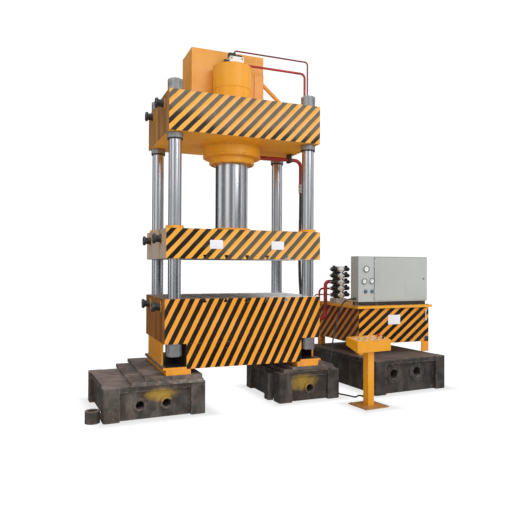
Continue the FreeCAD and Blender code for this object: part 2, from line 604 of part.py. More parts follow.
def build_pipes():
    pilot_high = val("cyl_top + prefill_h + pilot_coil_h")
    pilot_top = pilot_high + 42
    start_x = val("prefill_x - 15")
    stack_back = val("stack_y + stack_d / 2")
    low_port = val("stack_z + stack_base_h + valve_waist + 0.3 * valve_pitch")
    high_port = low_port + val("valve_pitch")
    pilot_x = val("pilot_x")
    pilot_back = val("pilot_back_y")
    pilot_rise = val("unit_x - lid_over - 90")
    keep("pilot_pipe", pipe("pilot_pipe", [
        Vector(start_x, 0, pilot_high), Vector(start_x, 0, pilot_top), Vector(pilot_x, 0, pilot_top),
        point("pilot_x", "0", "pilot_low"), point("pilot_x", "pilot_back_y", "pilot_low"),
        Vector(pilot_rise, pilot_back, val("pilot_low")), Vector(pilot_rise, pilot_back, low_port),
        Vector(val("stack_x - 25"), pilot_back, low_port), Vector(val("stack_x - 25"), stack_back, low_port)],
        "pilot_dia", 40, 2.5))
    pressure_top = val("cyl_top + prefill_h / 2")
    pressure_rise = val("unit_x - lid_over - 36")
    back = val("pressure_back_y")
    keep("pressure_pipe", pipe("pressure_pipe", [
        Vector(val("prefill_x + prefill_w / 2"), 0, pressure_top), Vector(val("pressure_x"), 0, pressure_top),
        point("pressure_x", "0", "pressure_low"), point("pressure_x", "pressure_back_y", "pressure_low"),
        Vector(pressure_rise, back, val("pressure_low")), Vector(pressure_rise, back, high_port),
        Vector(val("stack_x + 25"), back, high_port), Vector(val("stack_x + 25"), stack_back, high_port)],
        "pressure_dia", 60, 4))
    port_z = val("shoulder_z + shoulder_h / 2")
    return_end = val("shoulder_z - 250")
    upper_run = pipe("upper_return_pipe", [
        Vector(val("shoulder_dia / 2 - 50"), val("return_y"), port_z),
        Vector(val("return_x"), val("return_y"), port_z),
        Vector(val("return_x"), val("return_y"), return_end)], "return_dia", 90, 5)
    elbow = point("unit_pipe_x", "unit_pipe_y", "unit_pipe_low")
    foot = elbow + Vector(-270, -240, 0)
    lower_run = pipe("lower_return_pipe", [
        foot, elbow, point("unit_pipe_x", "unit_pipe_y", "unit_pipe_top"),
        point("stack_x - stack_w / 2", "unit_pipe_y", "unit_pipe_top")], "unit_pipe_dia", 60, 5)
    keep("return_pipes", group("return_pipes", [upper_run, lower_run]))
    toward = (foot - elbow).normalize()
    hose_top = Vector(val("return_x"), val("return_y"), return_end - val("fitting_len"))
    hose_end = foot + toward * val("low_fitting_len")
    upper = Part.makeCylinder(val("fitting_dia / 2"), val("fitting_len"), hose_top)
    lower = Part.makeCylinder(val("fitting_dia / 2"), val("low_fitting_len"), foot, toward)
    keep("hose_fittings", group("hose_fittings",
                                [drawn("upper_fitting", upper), drawn("lower_fitting", lower)]))
    route = [hose_top, hose_top - Vector(0, 0, 230), Vector(1015, 100, 2050), Vector(1013, 103, 1700),
             Vector(1030, 112, 1360), Vector(1075, 136, 1085), hose_end + toward * 230, hose_end]
    keep("return_hose", cord("return_hose", route, val("hose_dia")))
    return port_z


def build_clamps(port_z):
    """Clamp blocks hold the pipes to the crown's underside, the crown's side and the bed's side."""
    clamps = []
    drop = val("crown_z") - port_z + val("return_dia / 2") + 15
    hanger = Part.makeBox(val("clamp_t"), 90, drop, Vector(830, val("return_y") - 45, val("crown_z") - drop))
    bore = Part.makeCylinder(val("return_dia / 2 + seat_gap"), 200, Vector(780, val("return_y"), port_z),
                             Vector(1, 0, 0))
    clamps.append(drawn("return_clamp", hanger.cut(bore)))
    for face_x, height in (("crown_w / 2", "crown_z + crown_h / 2"), ("bed_w / 2", "bed_top - 250")):
        reach = val("pilot_x + pilot_dia / 2 + 15 - (" + face_x + ")")
        arm = Part.makeBox(reach, 50, val("clamp_t"), Vector(val(face_x), -25, val(height)))
        for x, diameter in (("pilot_x", "pilot_dia"), ("pressure_x", "pressure_dia")):
            hole = Part.makeCylinder(val(diameter + " / 2 + seat_gap"), 200,
                                     Vector(val(x), 0, val(height) - 80))
            arm = arm.cut(hole)
        clamps.append(drawn("side_clamp", arm))
    keep("pipe_clamps", group("pipe_clamps", clamps))


def build_power_unit():
    top = "unit_z + unit_h"
    shell = cut("unit_tank_shell", box("unit_tank_outside", ("unit_w", "unit_d", "unit_h"),
                                       ("unit_x", "unit_y", "unit_z")),
                [box("unit_tank_inside", ("unit_w - 2 * unit_sheet", "unit_d - 2 * unit_sheet", "unit_h"),
                     ("unit_x + unit_sheet", "unit_y + unit_sheet", "unit_z + unit_sheet"))])
    legs = []
    for x, near_x in (("unit_x", "unit_x"), ("unit_x + unit_w - unit_leg_w", "unit_x + unit_w - 10")):
        for y, near_y in (("unit_y", "unit_y"), ("unit_y + unit_d - unit_leg_d", "unit_y + unit_d - 10")):
            legs.append(box("unit_leg_front", ("unit_leg_w", "10", "unit_leg_h"),
                            (x, near_y, "unit_z - unit_leg_h")))
            legs.append(box("unit_leg_side", ("10", "unit_leg_d", "unit_leg_h"),
                            (near_x, y, "unit_z - unit_leg_h")))
    keep("unit_tank", fuse("unit_tank", [shell] + legs))
    plan = ("unit_w + 2 * lid_over", "unit_d + 2 * lid_over")
    middle = ("unit_x + unit_w / 2", "unit_y + unit_d / 2")
    lid = slab("unit_lid_plate", plan + ("lid_rim",), middle, top + " + lid_t - lid_rim")
    under = slab("unit_lid_under", (plan[0] + " - 2 * lid_t", plan[1] + " - 2 * lid_t", "lid_rim"), middle,
                 top + " - lid_rim")
    keep("unit_lid", cut("unit_lid", lid, [under]))
    gauge_x = "unit_x + unit_w - 62"
    gauge_z = "unit_z + 0.58 * unit_h"
    gauge = [slab("gauge_foot", ("26", "24", "22"), (gauge_x, "unit_y - 12"), gauge_z),
             slab("gauge_foot", ("26", "24", "22"), (gauge_x, "unit_y - 12"), gauge_z + " + gauge_h - 22"),
             rod("gauge_tube", "8", "gauge_h - 30", (gauge_x, "unit_y - 14", gauge_z + " + 15"))]
    keep("level_gauge", fuse("level_gauge", gauge))
    cap = ("unit_x + unit_w - 150", "unit_y + unit_d - 180")
    keep("breather_cap", fuse("breather_cap", [rod("breather_neck", "28", "40", cap + ("stack_z",)),
                                              rod("breather_top", "42", "52", cap + ("stack_z + 40",))]))


def build_motor():
    centre = ("motor_x", "motor_y", "motor_z")
    housing = rod("motor_housing", "motor_dia / 2", "motor_len", centre, (1, 0, 0))
    feet = slab("motor_feet", ("0.7 * motor_len", "motor_dia - 20", "motor_axis_h - motor_dia / 2 + 40"),
                ("motor_x + motor_len / 2", "motor_y"), "stack_z")
    terminal = slab("terminal_box", ("130", "120", "70"), ("motor_x + motor_len / 2", "motor_y"),
                    "motor_z + motor_dia / 2 - 12")
    hollow = rod("motor_hollow", "motor_dia / 2 - 16", "motor_len - 60",
                 ("motor_x + 30", "motor_y", "motor_z"), (1, 0, 0))
    bore = rod("motor_bore", "shaft_dia / 2 + run_gap", "motor_len - 8",
               ("motor_x - 1", "motor_y", "motor_z"), (1, 0, 0))
    keep("motor_body", cut("motor_body", fuse("motor_shell", [housing, feet, terminal]), [hollow, bore]))
    shaft = rod("motor_shaft", "shaft_dia / 2", "motor_len + bell_len - pump_shaft_len - 14",
                ("motor_x - bell_len + pump_shaft_len", "motor_y", "motor_z"), (1, 0, 0))
    core = rod("rotor_core", "motor_dia / 2 - 45", "motor_len - 160",
               ("motor_x + 80", "motor_y", "motor_z"), (1, 0, 0))
    hub = rod("coupling_hub", "shaft_dia", "44",
              ("motor_x - bell_len + pump_shaft_len", "motor_y", "motor_z"), (1, 0, 0))
    fan = rod("motor_fan", "motor_dia / 2 - 30", "16", ("motor_x + motor_len - 60", "motor_y", "motor_z"),
              (1, 0, 0))
    keep("motor_rotor", fuse("motor_rotor", [shaft, core, hub, fan]))
    bell_x = "motor_x - bell_len"
    bell = rod("bell_outside", "bell_dia / 2", "bell_len", (bell_x, "motor_y", "motor_z"), (1, 0, 0))
    bell_room = rod("bell_inside", "bell_dia / 2 - bell_wall", "bell_len - 2 * bell_wall",
                    (bell_x + " + bell_wall", "motor_y", "motor_z"), (1, 0, 0))
    bell_bore = rod("bell_bore", "shaft_dia / 2 + 4", "bell_len + 2",
                    (bell_x + " - 1", "motor_y", "motor_z"), (1, 0, 0))
    window = slab("bell_window", ("bell_len - 4 * bell_wall", "bell_dia + 2", "60"),
                  (bell_x + " + bell_len / 2", "motor_y"), "motor_z - 30")
    keep("bell_housing", cut("bell_housing", bell, [bell_room, bell_bore, window]))
    pump_x = bell_x + " - pump_len"
    keep("pump_body", fuse("pump_body", [
        rod("pump_case", "pump_dia / 2", "pump_len", (pump_x, "motor_y", "motor_z"), (1, 0, 0)),
        slab("pump_port", ("60", "pump_dia + 40", "60"), (pump_x + " + pump_len / 2", "motor_y"),
             "motor_z - 30"),
        rod("pump_shaft", "shaft_dia / 2 - 4", "pump_shaft_len - 15", (bell_x, "motor_y", "motor_z"),
            (1, 0, 0)),
        slab("pump_suction", ("70", "70", "motor_axis_h"), (pump_x + " + pump_len / 2", "motor_y"),
             "stack_z")]))


METERS = {"high": ("122", "458", "meter_dia"), "low_left": ("90", "286", "small_meter_dia"),
          "low_right": ("213", "291", "small_meter_dia")}
CABINET_BUTTONS = {"left": ("115", "145"), "right": ("221", "146")}


def on_cabinet(across, up, step="0"):
    """A place on the cabinet's front by its distances from the lower left corner; step is along +Y."""
    return (f"cab_x + {across}", f"cab_y + {step}", f"cab_z + {up}")


def build_cabinet():
    outside = box("cabinet_outside", ("cab_w", "cab_d", "cab_h"), ("cab_x", "cab_y", "cab_z"))
    inside = box("cabinet_inside", ("cab_w - 2 * cab_sheet", "cab_d - 2 * cab_sheet",
                                    "cab_h - 2 * cab_sheet"),
                 ("cab_x + cab_sheet", "cab_y + cab_sheet", "cab_z + cab_sheet"))
    mouth = box("cabinet_mouth", ("door_right + door_gap - door_left + door_hinge_gap", "2 * cab_sheet",
                                  "door_high - door_low + 2 * door_gap"),
                ("door_left - door_hinge_gap", "cab_y - cab_sheet / 2", "door_low - door_gap"))
    holes = [rod("meter_hole", f"0.4 * {size} + hole_gap", "cab_sheet + 2", on_cabinet(x, z, "-1"), (0, 1, 0))
             for x, z, size in METERS.values()]
    holes += [rod("button_hole", "cab_button_dia / 4 + hole_gap", "cab_sheet + 2", on_cabinet(x, z, "-1"),
                  (0, 1, 0))
              for x, z in CABINET_BUTTONS.values()]
    frame = cut("cabinet_frame", outside, [inside, mouth] + holes)
    feet = [slab("cabinet_foot", ("110", "60", "cab_foot_h"), (x, y), "stack_z")
            for x in ("cab_x + 90", "cab_x + cab_w - 90") for y in ("cab_y + 45", "cab_y + cab_d - 45")]
    strike = box("lock_strike", ("cab_sheet", "door_t - door_proud - cab_sheet", "8 * cab_sheet"),
                 ("door_right + door_gap", "cab_y + cab_sheet", "lock_z - 4 * cab_sheet"))
    ears = []
    knuckles = []
    pins = []
    ways = []
    for share in ("0.15", "0.85"):
        low = f"door_low + {share} * (door_high - door_low) - knuckle_h / 2"
        for ear_low in (low + " - hinge_ear_h - hole_gap", low + " + knuckle_h + hole_gap"):
            ears.append(box("hinge_ear", ("door_hinge_gap + 2 * knuckle_r", "2 * knuckle_r", "hinge_ear_h"),
                            ("door_left - door_hinge_gap - knuckle_r", "door_front - knuckle_r", ear_low)))
        for ear_low in (low + " - hinge_ear_h - 1 - hole_gap", low + " + knuckle_h"):
            ways.append(box("ear_room", ("3 * knuckle_r", "3 * knuckle_r", "hinge_ear_h + 2"),
                            ("door_left - 1.2 * knuckle_r", "door_front - 1.5 * knuckle_r", ear_low)))
        pins.append(rod("hinge_pin", "hinge_pin_r", "knuckle_h + 2 * hinge_ear_h",
                        ("door_left", "door_front", low + " - hinge_ear_h")))
        knuckles.append(rod("hinge_knuckle", "knuckle_r", "knuckle_h", ("door_left", "door_front", low)))
        ways.append(rod("hinge_way", "hinge_pin_r + run_gap", "knuckle_h + 2",
                        ("door_left", "door_front", low + " - 1")))
    keep("cabinet_shell", fuse("cabinet_shell", [frame, strike] + feet + ears + pins))
    panel = box("door_panel", ("door_right - door_left", "door_t", "door_high - door_low"),
                ("door_left", "door_front", "door_low"))
    relief = box("door_relief", ("door_right - door_left - 4 * cab_sheet", "door_t",
                                 "door_high - door_low - 4 * cab_sheet"),
                 ("door_left + 2 * cab_sheet", "door_front + cab_sheet / 2", "door_low + 2 * cab_sheet"))
    lock_x = "door_right - lock_inset"
    ways.append(rod("lock_way", "lock_r + run_gap", "2 * cab_sheet",
                    (lock_x, "door_front - cab_sheet", "lock_z"), (0, 1, 0)))
    keep("cabinet_door", cut("cabinet_door", fuse("door_leaf",
                                                  [cut("door_sheet", panel, [relief])] + knuckles), ways))
    head_y = "door_front - lock_head_t - hole_gap"
    keep("door_lock", fuse("door_lock", [
        rod("lock_head", "lock_r + 4", "lock_head_t", (lock_x, head_y, "lock_z"), (0, 1, 0)),
        rod("lock_barrel", "lock_r", "lock_head_t + door_t + 3 * hole_gap + cam_t",
            (lock_x, head_y, "lock_z"), (0, 1, 0)),
        rod("lock_nut", "lock_r + 5", "cab_sheet",
            (lock_x, "door_front + cab_sheet / 2 + hole_gap", "lock_z"), (0, 1, 0)),
        box("lock_cam", ("2 * lock_r", "cam_t", "lock_reach"),
            (lock_x + " - lock_r", "door_front + door_t + 2 * hole_gap", "lock_z - lock_reach"))]))
    keep("cabinet_meters", group("cabinet_meters", [
        fuse("meter", [rod("meter_rim", f"{size} / 2", "meter_rim_h", on_cabinet(x, z, "(-meter_rim_h)"),
                           (0, 1, 0)),
                       rod("meter_case", f"0.4 * {size}", "meter_deep", on_cabinet(x, z, "(-1)"), (0, 1, 0))])
        for x, z, size in METERS.values()]))
    for side, (x, z) in CABINET_BUTTONS.items():
        head = rod("cabinet_button_head", "cab_button_dia / 2", "cab_button_h",
                   on_cabinet(x, z, "(-cab_button_h - button_travel - 1)"), (0, 1, 0))
        stem = rod("cabinet_button_stem", "cab_button_dia / 4",
                   "cab_button_h + button_travel + 5 * cab_sheet",
                   on_cabinet(x, z, "(-button_travel - cab_sheet)"), (0, 1, 0))
        keep("cabinet_button_" + side, fuse("cabinet_button_" + side, [head, stem]))
    gear = [box("gear_plate", ("0.7 * cab_w - 60", "cab_sheet - 1", "cab_h - 120"),
                ("cab_x + 0.3 * cab_w", "cab_y + cab_d - 2 * cab_sheet + 1", "cab_z + 60"))]
    for column in range(5):
        for level in range(2):
            gear.append(box("contactor", ("82", "80", "110"),
                            (f"cab_x + 0.3 * cab_w + 60 + {column} * 140", "cab_y + cab_d - cab_sheet - 80",
                             f"cab_z + 120 + {level} * 230")))
    keep("control_gear", fuse("control_gear", gear))


def support_block(name, size, base, turn, holes, slots=(), lug=None):
    """A cast block on its own corner: four corner pillars, recessed panels and cored holes."""
    width, depth, height = size
    pillar = 170
    recess = 55
    solids = [Part.makeBox(width - 2 * recess, depth - 2 * recess, height - 6, Vector(recess, recess, 0))]
    for x in (0, width - pillar):
        for y in (0, depth - pillar):
            solids.append(Part.makeBox(pillar, pillar, height, Vector(x, y, 0)))
    flange = Part.makeBox(width - 2 * 20, depth - 2 * 20, 60, Vector(20, 20, height - 60))
    shape = solids[0].multiFuse(solids[1:] + [flange]).removeSplitter()
    upright = [edge for edge in shape.Edges if len(edge.Vertexes) == 2 and edge.Length > height - 1
               and abs(edge.Vertexes[0].X - edge.Vertexes[1].X) < 0.01
               and min(edge.Vertexes[0].X, width - edge.Vertexes[0].X) < 1
               and min(edge.Vertexes[0].Y, depth - edge.Vertexes[0].Y) < 1]
    shape = shape.makeFillet(28, upright)
    for x, z, radius in holes:
        shape = shape.cut(Part.makeCylinder(radius, 260, Vector(x, -10, z), Vector(0, 1, 0)))
    for y in slots:
        shape = shape.cut(Part.makeBox(0.62 * width, 28, 34, Vector(0.19 * width, y, height - 34)))
    if lug:
        shape = shape.fuse(lug).removeSplitter()
    return keep(name, drawn(name, shape), base, turn)


BLOCKS = {
    "left": {"size": (1130, 1190), "base": (-1625, -655), "turn": 3,
             "holes": [(395, 150, 46), (690, 150, 46)],
             "slots": [357, 773]},
    "right": {"size": (845, 1090), "base": (448, -520), "turn": 1.5, "holes": [(440, 150, 46)], "slots": []},
    "unit": {"size": (1190, 1750), "base": (1765, -600), "turn": 4, "holes": [(330, 250, 62), (720, 255, 62)],
             "slots": []},
}
PACKING = [((800, 1290), (-1335, -635), 0), ((640, 1340), (-1175, -580), 1),
           ((700, 1040), (520, -490), 0), ((560, 1140), (600, -560), 1)]


def build_blocks():
    ring_lug = Part.makeCylinder(78, 130, Vector(-92, 120, 0)).fuse(Part.makeBox(110, 60, 60,
                                                                                 Vector(-60, 90, 30)))
    ring_lug = ring_lug.cut(Part.makeCylinder(52, 132, Vector(-92, 120, -1)))
    bar = Part.makeBox(70, 120, 330, Vector(-66, 190, 8)).fuse(Part.makeBox(40, 120, 60,
                                                                            Vector(-20, 190, 278)))
    heights = {"left": "block_h", "right": "block_h", "unit": "unit_z - unit_leg_h"}
    lugs = {"left": ring_lug, "right": bar}
    for place, block in BLOCKS.items():
        support_block("support_block_" + place, block["size"] + (val(heights[place]),),
                      Vector(*block["base"], 0),
                      block["turn"], block["holes"], block["slots"], lugs.get(place))
    plates = [box("packing", (str(size[0]), str(size[1]), "packing_t"),
                  (str(corner[0]), str(corner[1]), f"block_h + {level} * packing_t"))
              for size, corner, level in PACKING]
    keep("packing_plates", group("packing_plates", plates))


def build_pedestal():
    base = point("ped_x", "ped_y", "0")
    turn = val("ped_turn")
    half_d = "ped_box_d / 2"
    slope = "(ped_low_back - ped_low_front) / ped_box_d"
    foot = slab("ped_foot", ("ped_base", "ped_base", "ped_base_t"), ("0", "0"), "0")
    anchors = [rod("ped_anchor", "ped_anchor_r", "ped_base_t + 2",
                   (f"{across} * (ped_base / 2 - ped_anchor_inset)",
                    f"{along} * (ped_base / 2 - ped_anchor_inset)", "-1"))
               for across in (-1, 1) for along in (-1, 1)]
    post = slab("ped_post", ("ped_post", "ped_post", "ped_low_back"), ("0", "0"), "0")
    post_hollow = slab("ped_post_inside", ("ped_post - 2 * ped_post_wall", "ped_post - 2 * ped_post_wall",
                                           "ped_low_back"),
                       ("0", "0"), "ped_base_t")
    over = folded("ped_over", [("-" + half_d, "ped_low_front"), (half_d, "ped_low_back"),
                               (half_d, "ped_low_back + 200"),
                               ("-" + half_d, "ped_low_back + 200")], "ped_post + 20", "-ped_post / 2 - 10")
    cable_way = rod("ped_cable_way", "cable_dia / 2 - 1", "ped_post_wall + 2",
                    ("0", "ped_post / 2 - ped_post_wall - 1", "ped_gland_z"), (0, 1, 0))
    floor = folded("ped_floor", [("-" + half_d, "ped_low_front"), (half_d, "ped_low_back"),
                                 (half_d, "ped_low_back + ped_sheet"),
                                 ("-" + half_d, "ped_low_front + ped_sheet")],
                   "ped_box_w", "-ped_box_w / 2")
    tube = cut("ped_tube", post, [post_hollow, over, cable_way])
    stand = cut("pedestal_stand", fuse("ped_welded", [foot, tube, floor]), anchors)
    keep("pedestal_stand", stand, base, turn)
    lift = "ped_sheet"
    skin = folded("ped_skin", [("-" + half_d, f"ped_low_front + {lift}"), (half_d, f"ped_low_back + {lift}"),
                               (half_d, "ped_top_back"), ("-" + half_d, "ped_top_front")], "ped_box_w",
                               "-ped_box_w / 2")
    near = f"({half_d} - ped_sheet)"
    drop = f"{slope} * ped_sheet"
    room = folded("ped_room", [("-" + near, f"ped_low_front + {drop} - 20"),
                               (near, f"ped_low_back - {drop} - 20"),
                               (near, "ped_top_back - 1.3 * ped_sheet"),
                               ("-" + near, "ped_top_front - ped_sheet")],
                  "ped_box_w - 2 * ped_sheet", "-ped_box_w / 2 + ped_sheet")
    tilt = math.degrees(math.atan2(val("ped_top_back - ped_top_front"), val("ped_box_d")))
    lie = Rotation(Vector(1, 0, 0), tilt)
    middle = point("0", "0", "(ped_top_back + ped_top_front) / 2")
    whole = Placement(base, Rotation(Vector(0, 0, 1), turn))

    def spot(column, row):
        """A place on the sloped panel, in the pedestal's own frame."""
        return Placement(middle + lie.multVec(Vector(column * val("button_pitch"), row * val("row_gap / 2"),
                                                     0)), lie)

    holes = []
    for column in range(-2, 3):
        for row in (-1, 1):
            hole = doc.addObject("Part::Cylinder", "panel_hole")
            bind(hole, Radius="button_dia / 2 + hole_gap", Height="40")
            hole.Placement = spot(column, row).multiply(Placement(Vector(0, 0, -20), Rotation()))
            holes.append(hole)
    keep("pedestal_box", cut("pedestal_box", skin, [room] + holes), base, turn)

    def operator(node, column, row, points):
        piece = turned(node, points)
        piece.Placement = whole.multiply(spot(column, row))
        keep(node, piece)

    stem = "button_dia / 2"
    plain = [("0", "-button_deep"), (stem, "-button_deep"), (stem, "button_proud"), ("0", "button_proud")]
    for index in range(4):
        operator(f"push_button_{index + 1}", index - 2, -1, plain)
    operator("selector_knob", 2, -1, [("0", "-button_deep"), (stem, "-button_deep"), (stem, "1"),
                                      ("1.3 * " + stem, "1"), (stem, "22"), ("0", "22")])
    operator("stop_button", 2, 1, [("0", "-button_deep"), (stem, "-button_deep"), (stem, "12"),
                                   ("stop_dia / 2", "14"), ("stop_dia / 2", "24"), ("0", "28")])
    lamps = []
    for index in range(4):
        lamp = turned("panel_lamp", plain)
        lamp.Placement = whole.multiply(spot(index - 2, 1))
        lamps.append(lamp)
    keep("panel_lamps", group("panel_lamps", lamps))
    return whole


def build_cable(whole):
    """The control cable hangs from the cabinet's left side and lies on the floor to the pedestal."""
    out = whole.Rotation.multVec(Vector(0, 1, 0))
    gland_foot = whole.multVec(point("0", "ped_post / 2", "ped_gland_z"))
    gland_tip = gland_foot + out * val("gland_len")
    cab_foot = point("cab_x", "cab_gland_y", "cab_gland_z")
    cab_tip = cab_foot - Vector(val("gland_len"), 0, 0)
    keep("cable_glands", group("cable_glands", [
        drawn("pedestal_gland", Part.makeCylinder(val("gland_od / 2"), val("gland_len"), gland_foot, out)),
        drawn("cabinet_gland", Part.makeCylinder(val("gland_od / 2"), val("gland_len"), cab_tip,
                                                 Vector(1, 0, 0)))]))
    route = [gland_tip, gland_tip + out * 105, Vector(1425, -680, 36), Vector(1462, -570, 11),
             Vector(1422, -450, 10.5),
             Vector(1355, -340, 12), Vector(1326, -250, 62), Vector(1322, -212, 185), Vector(1335, -180, 400),
             Vector(1384, -136, 610), Vector(1450, -92, 800), Vector(1512, -55, 960), Vector(1572, -20, 1090),
             Vector(1645, 12, 1172), cab_tip - Vector(92, 0, 0), cab_tip]
    keep("control_cable", cord("control_cable", route, val("cable_dia")))


build_bed()
build_columns()
build_loops()
build_slide()
build_crown()
build_cylinder()
build_ram()
build_top_tank()
build_valves()
build_clamps(build_pipes())
build_power_unit()
build_motor()
build_cabinet()
build_blocks()
build_cable(build_pedestal())
doc.recompute()

for item in doc.Objects:
    if "Invalid" in item.State or "Error" in item.State:
        raise RuntimeError(f"{item.Label} failed: {item.State}")
os.makedirs("parts", exist_ok=True)
for node, obj in PIECES.items():
    shape = obj.Shape
    if shape.isNull() or not shape.isValid() or not shape.Solids:
        raise RuntimeError(f"{node} has no valid solid")
    shape.exportStep(os.path.join("parts", node + ".step"))
print(len(PIECES), "sub-parts written")
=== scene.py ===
# Four-column press with its power unit, pedestal and iron blocks: finishes, fittings, cords, light and camera
import math
from itertools import product
import bmesh
import bpy
import numpy as np
from mathutils import Matrix, Vector


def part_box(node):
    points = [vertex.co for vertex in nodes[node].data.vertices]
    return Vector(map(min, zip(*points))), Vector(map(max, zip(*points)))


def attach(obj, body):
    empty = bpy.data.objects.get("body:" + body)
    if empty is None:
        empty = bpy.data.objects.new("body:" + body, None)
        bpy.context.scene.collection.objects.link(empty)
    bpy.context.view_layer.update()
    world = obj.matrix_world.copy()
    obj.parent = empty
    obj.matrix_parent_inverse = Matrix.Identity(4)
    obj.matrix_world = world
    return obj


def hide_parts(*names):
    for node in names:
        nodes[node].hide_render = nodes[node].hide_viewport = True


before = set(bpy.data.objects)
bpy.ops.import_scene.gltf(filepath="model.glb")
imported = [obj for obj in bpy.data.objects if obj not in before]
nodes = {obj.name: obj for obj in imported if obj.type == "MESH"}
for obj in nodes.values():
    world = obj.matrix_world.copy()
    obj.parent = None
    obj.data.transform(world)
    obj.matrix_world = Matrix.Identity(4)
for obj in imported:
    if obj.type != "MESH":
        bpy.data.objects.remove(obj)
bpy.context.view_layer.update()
boxes = {name: [np.array(corner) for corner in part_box(name)] for name in nodes}
tau = 2 * math.pi
cornerSigns = list(product((-1, 1), (-1, 1)))
print("frame loaded:", len(nodes), "nodes")


def addObject(name, data):
    thing = bpy.data.objects.new(name, data)
    bpy.context.scene.collection.objects.link(thing)
    return thing


# camera: angles in degrees, lens and sensor in millimetres
camera = {"place": (-2.242, -6.573, 1.65), "yaw": 21.96, "pitch": 0.72, "roll": 0.24, "lens": 37.66, "sensor": 36.0,
          "far": 200}


def makeCamera():
    # looks along (sin yaw cos pitch, cos yaw cos pitch, sin pitch), then rolls about that line
    yaw, pitch, roll = (math.radians(camera[key]) for key in ("yaw", "pitch", "roll"))
    ahead = Vector((math.sin(yaw) * math.cos(pitch), math.cos(yaw) * math.cos(pitch), math.sin(pitch)))
    level = Vector((math.cos(yaw), -math.sin(yaw), 0))
    up = level.cross(ahead)
    right = math.cos(roll) * level + math.sin(roll) * up
    up = math.cos(roll) * up - math.sin(roll) * level
    eye = addObject("camera", bpy.data.cameras.new("camera"))
    eye.data.lens = camera["lens"]
    eye.data.sensor_width = camera["sensor"]
    eye.data.clip_end = camera["far"]
    eye.matrix_world = Matrix((right, up, -ahead)).transposed().to_4x4()
    eye.location = camera["place"]
    bpy.context.scene.camera = eye


makeCamera()
bpy.context.scene.view_settings.view_transform = "Standard"
print("camera placed")


class Value:
    # one output of a material's nodes: operators add Math nodes, or Vector Math nodes where a vector takes part
    def __init__(self, finish, socket):
        self.finish = finish
        self.socket = socket

    def maths(self, operation, other, flipped=False):
        pair = (other, self) if flipped else (self, other)
        vectors = [isinstance(item, tuple) or isinstance(item, Value) and item.socket.type == "VECTOR" for item in pair]
        kind = "ShaderNodeVectorMath" if any(vectors) else "ShaderNodeMath"
        return self.finish.add(kind, {"operation": operation}, {0: pair[0], 1: pair[1]})

    def out(self, outlet):
        return Value(self.finish, self.socket.node.outputs[outlet])

    def __add__(self, other):
        return self.maths("ADD", other)

    def __radd__(self, other):
        return self.maths("ADD", other, True)

    def __sub__(self, other):
        return self.maths("SUBTRACT", other)

    def __rsub__(self, other):
        return self.maths("SUBTRACT", other, True)

    def __mul__(self, other):
        return self.maths("MULTIPLY", other)

    def __rmul__(self, other):
        return self.maths("MULTIPLY", other, True)


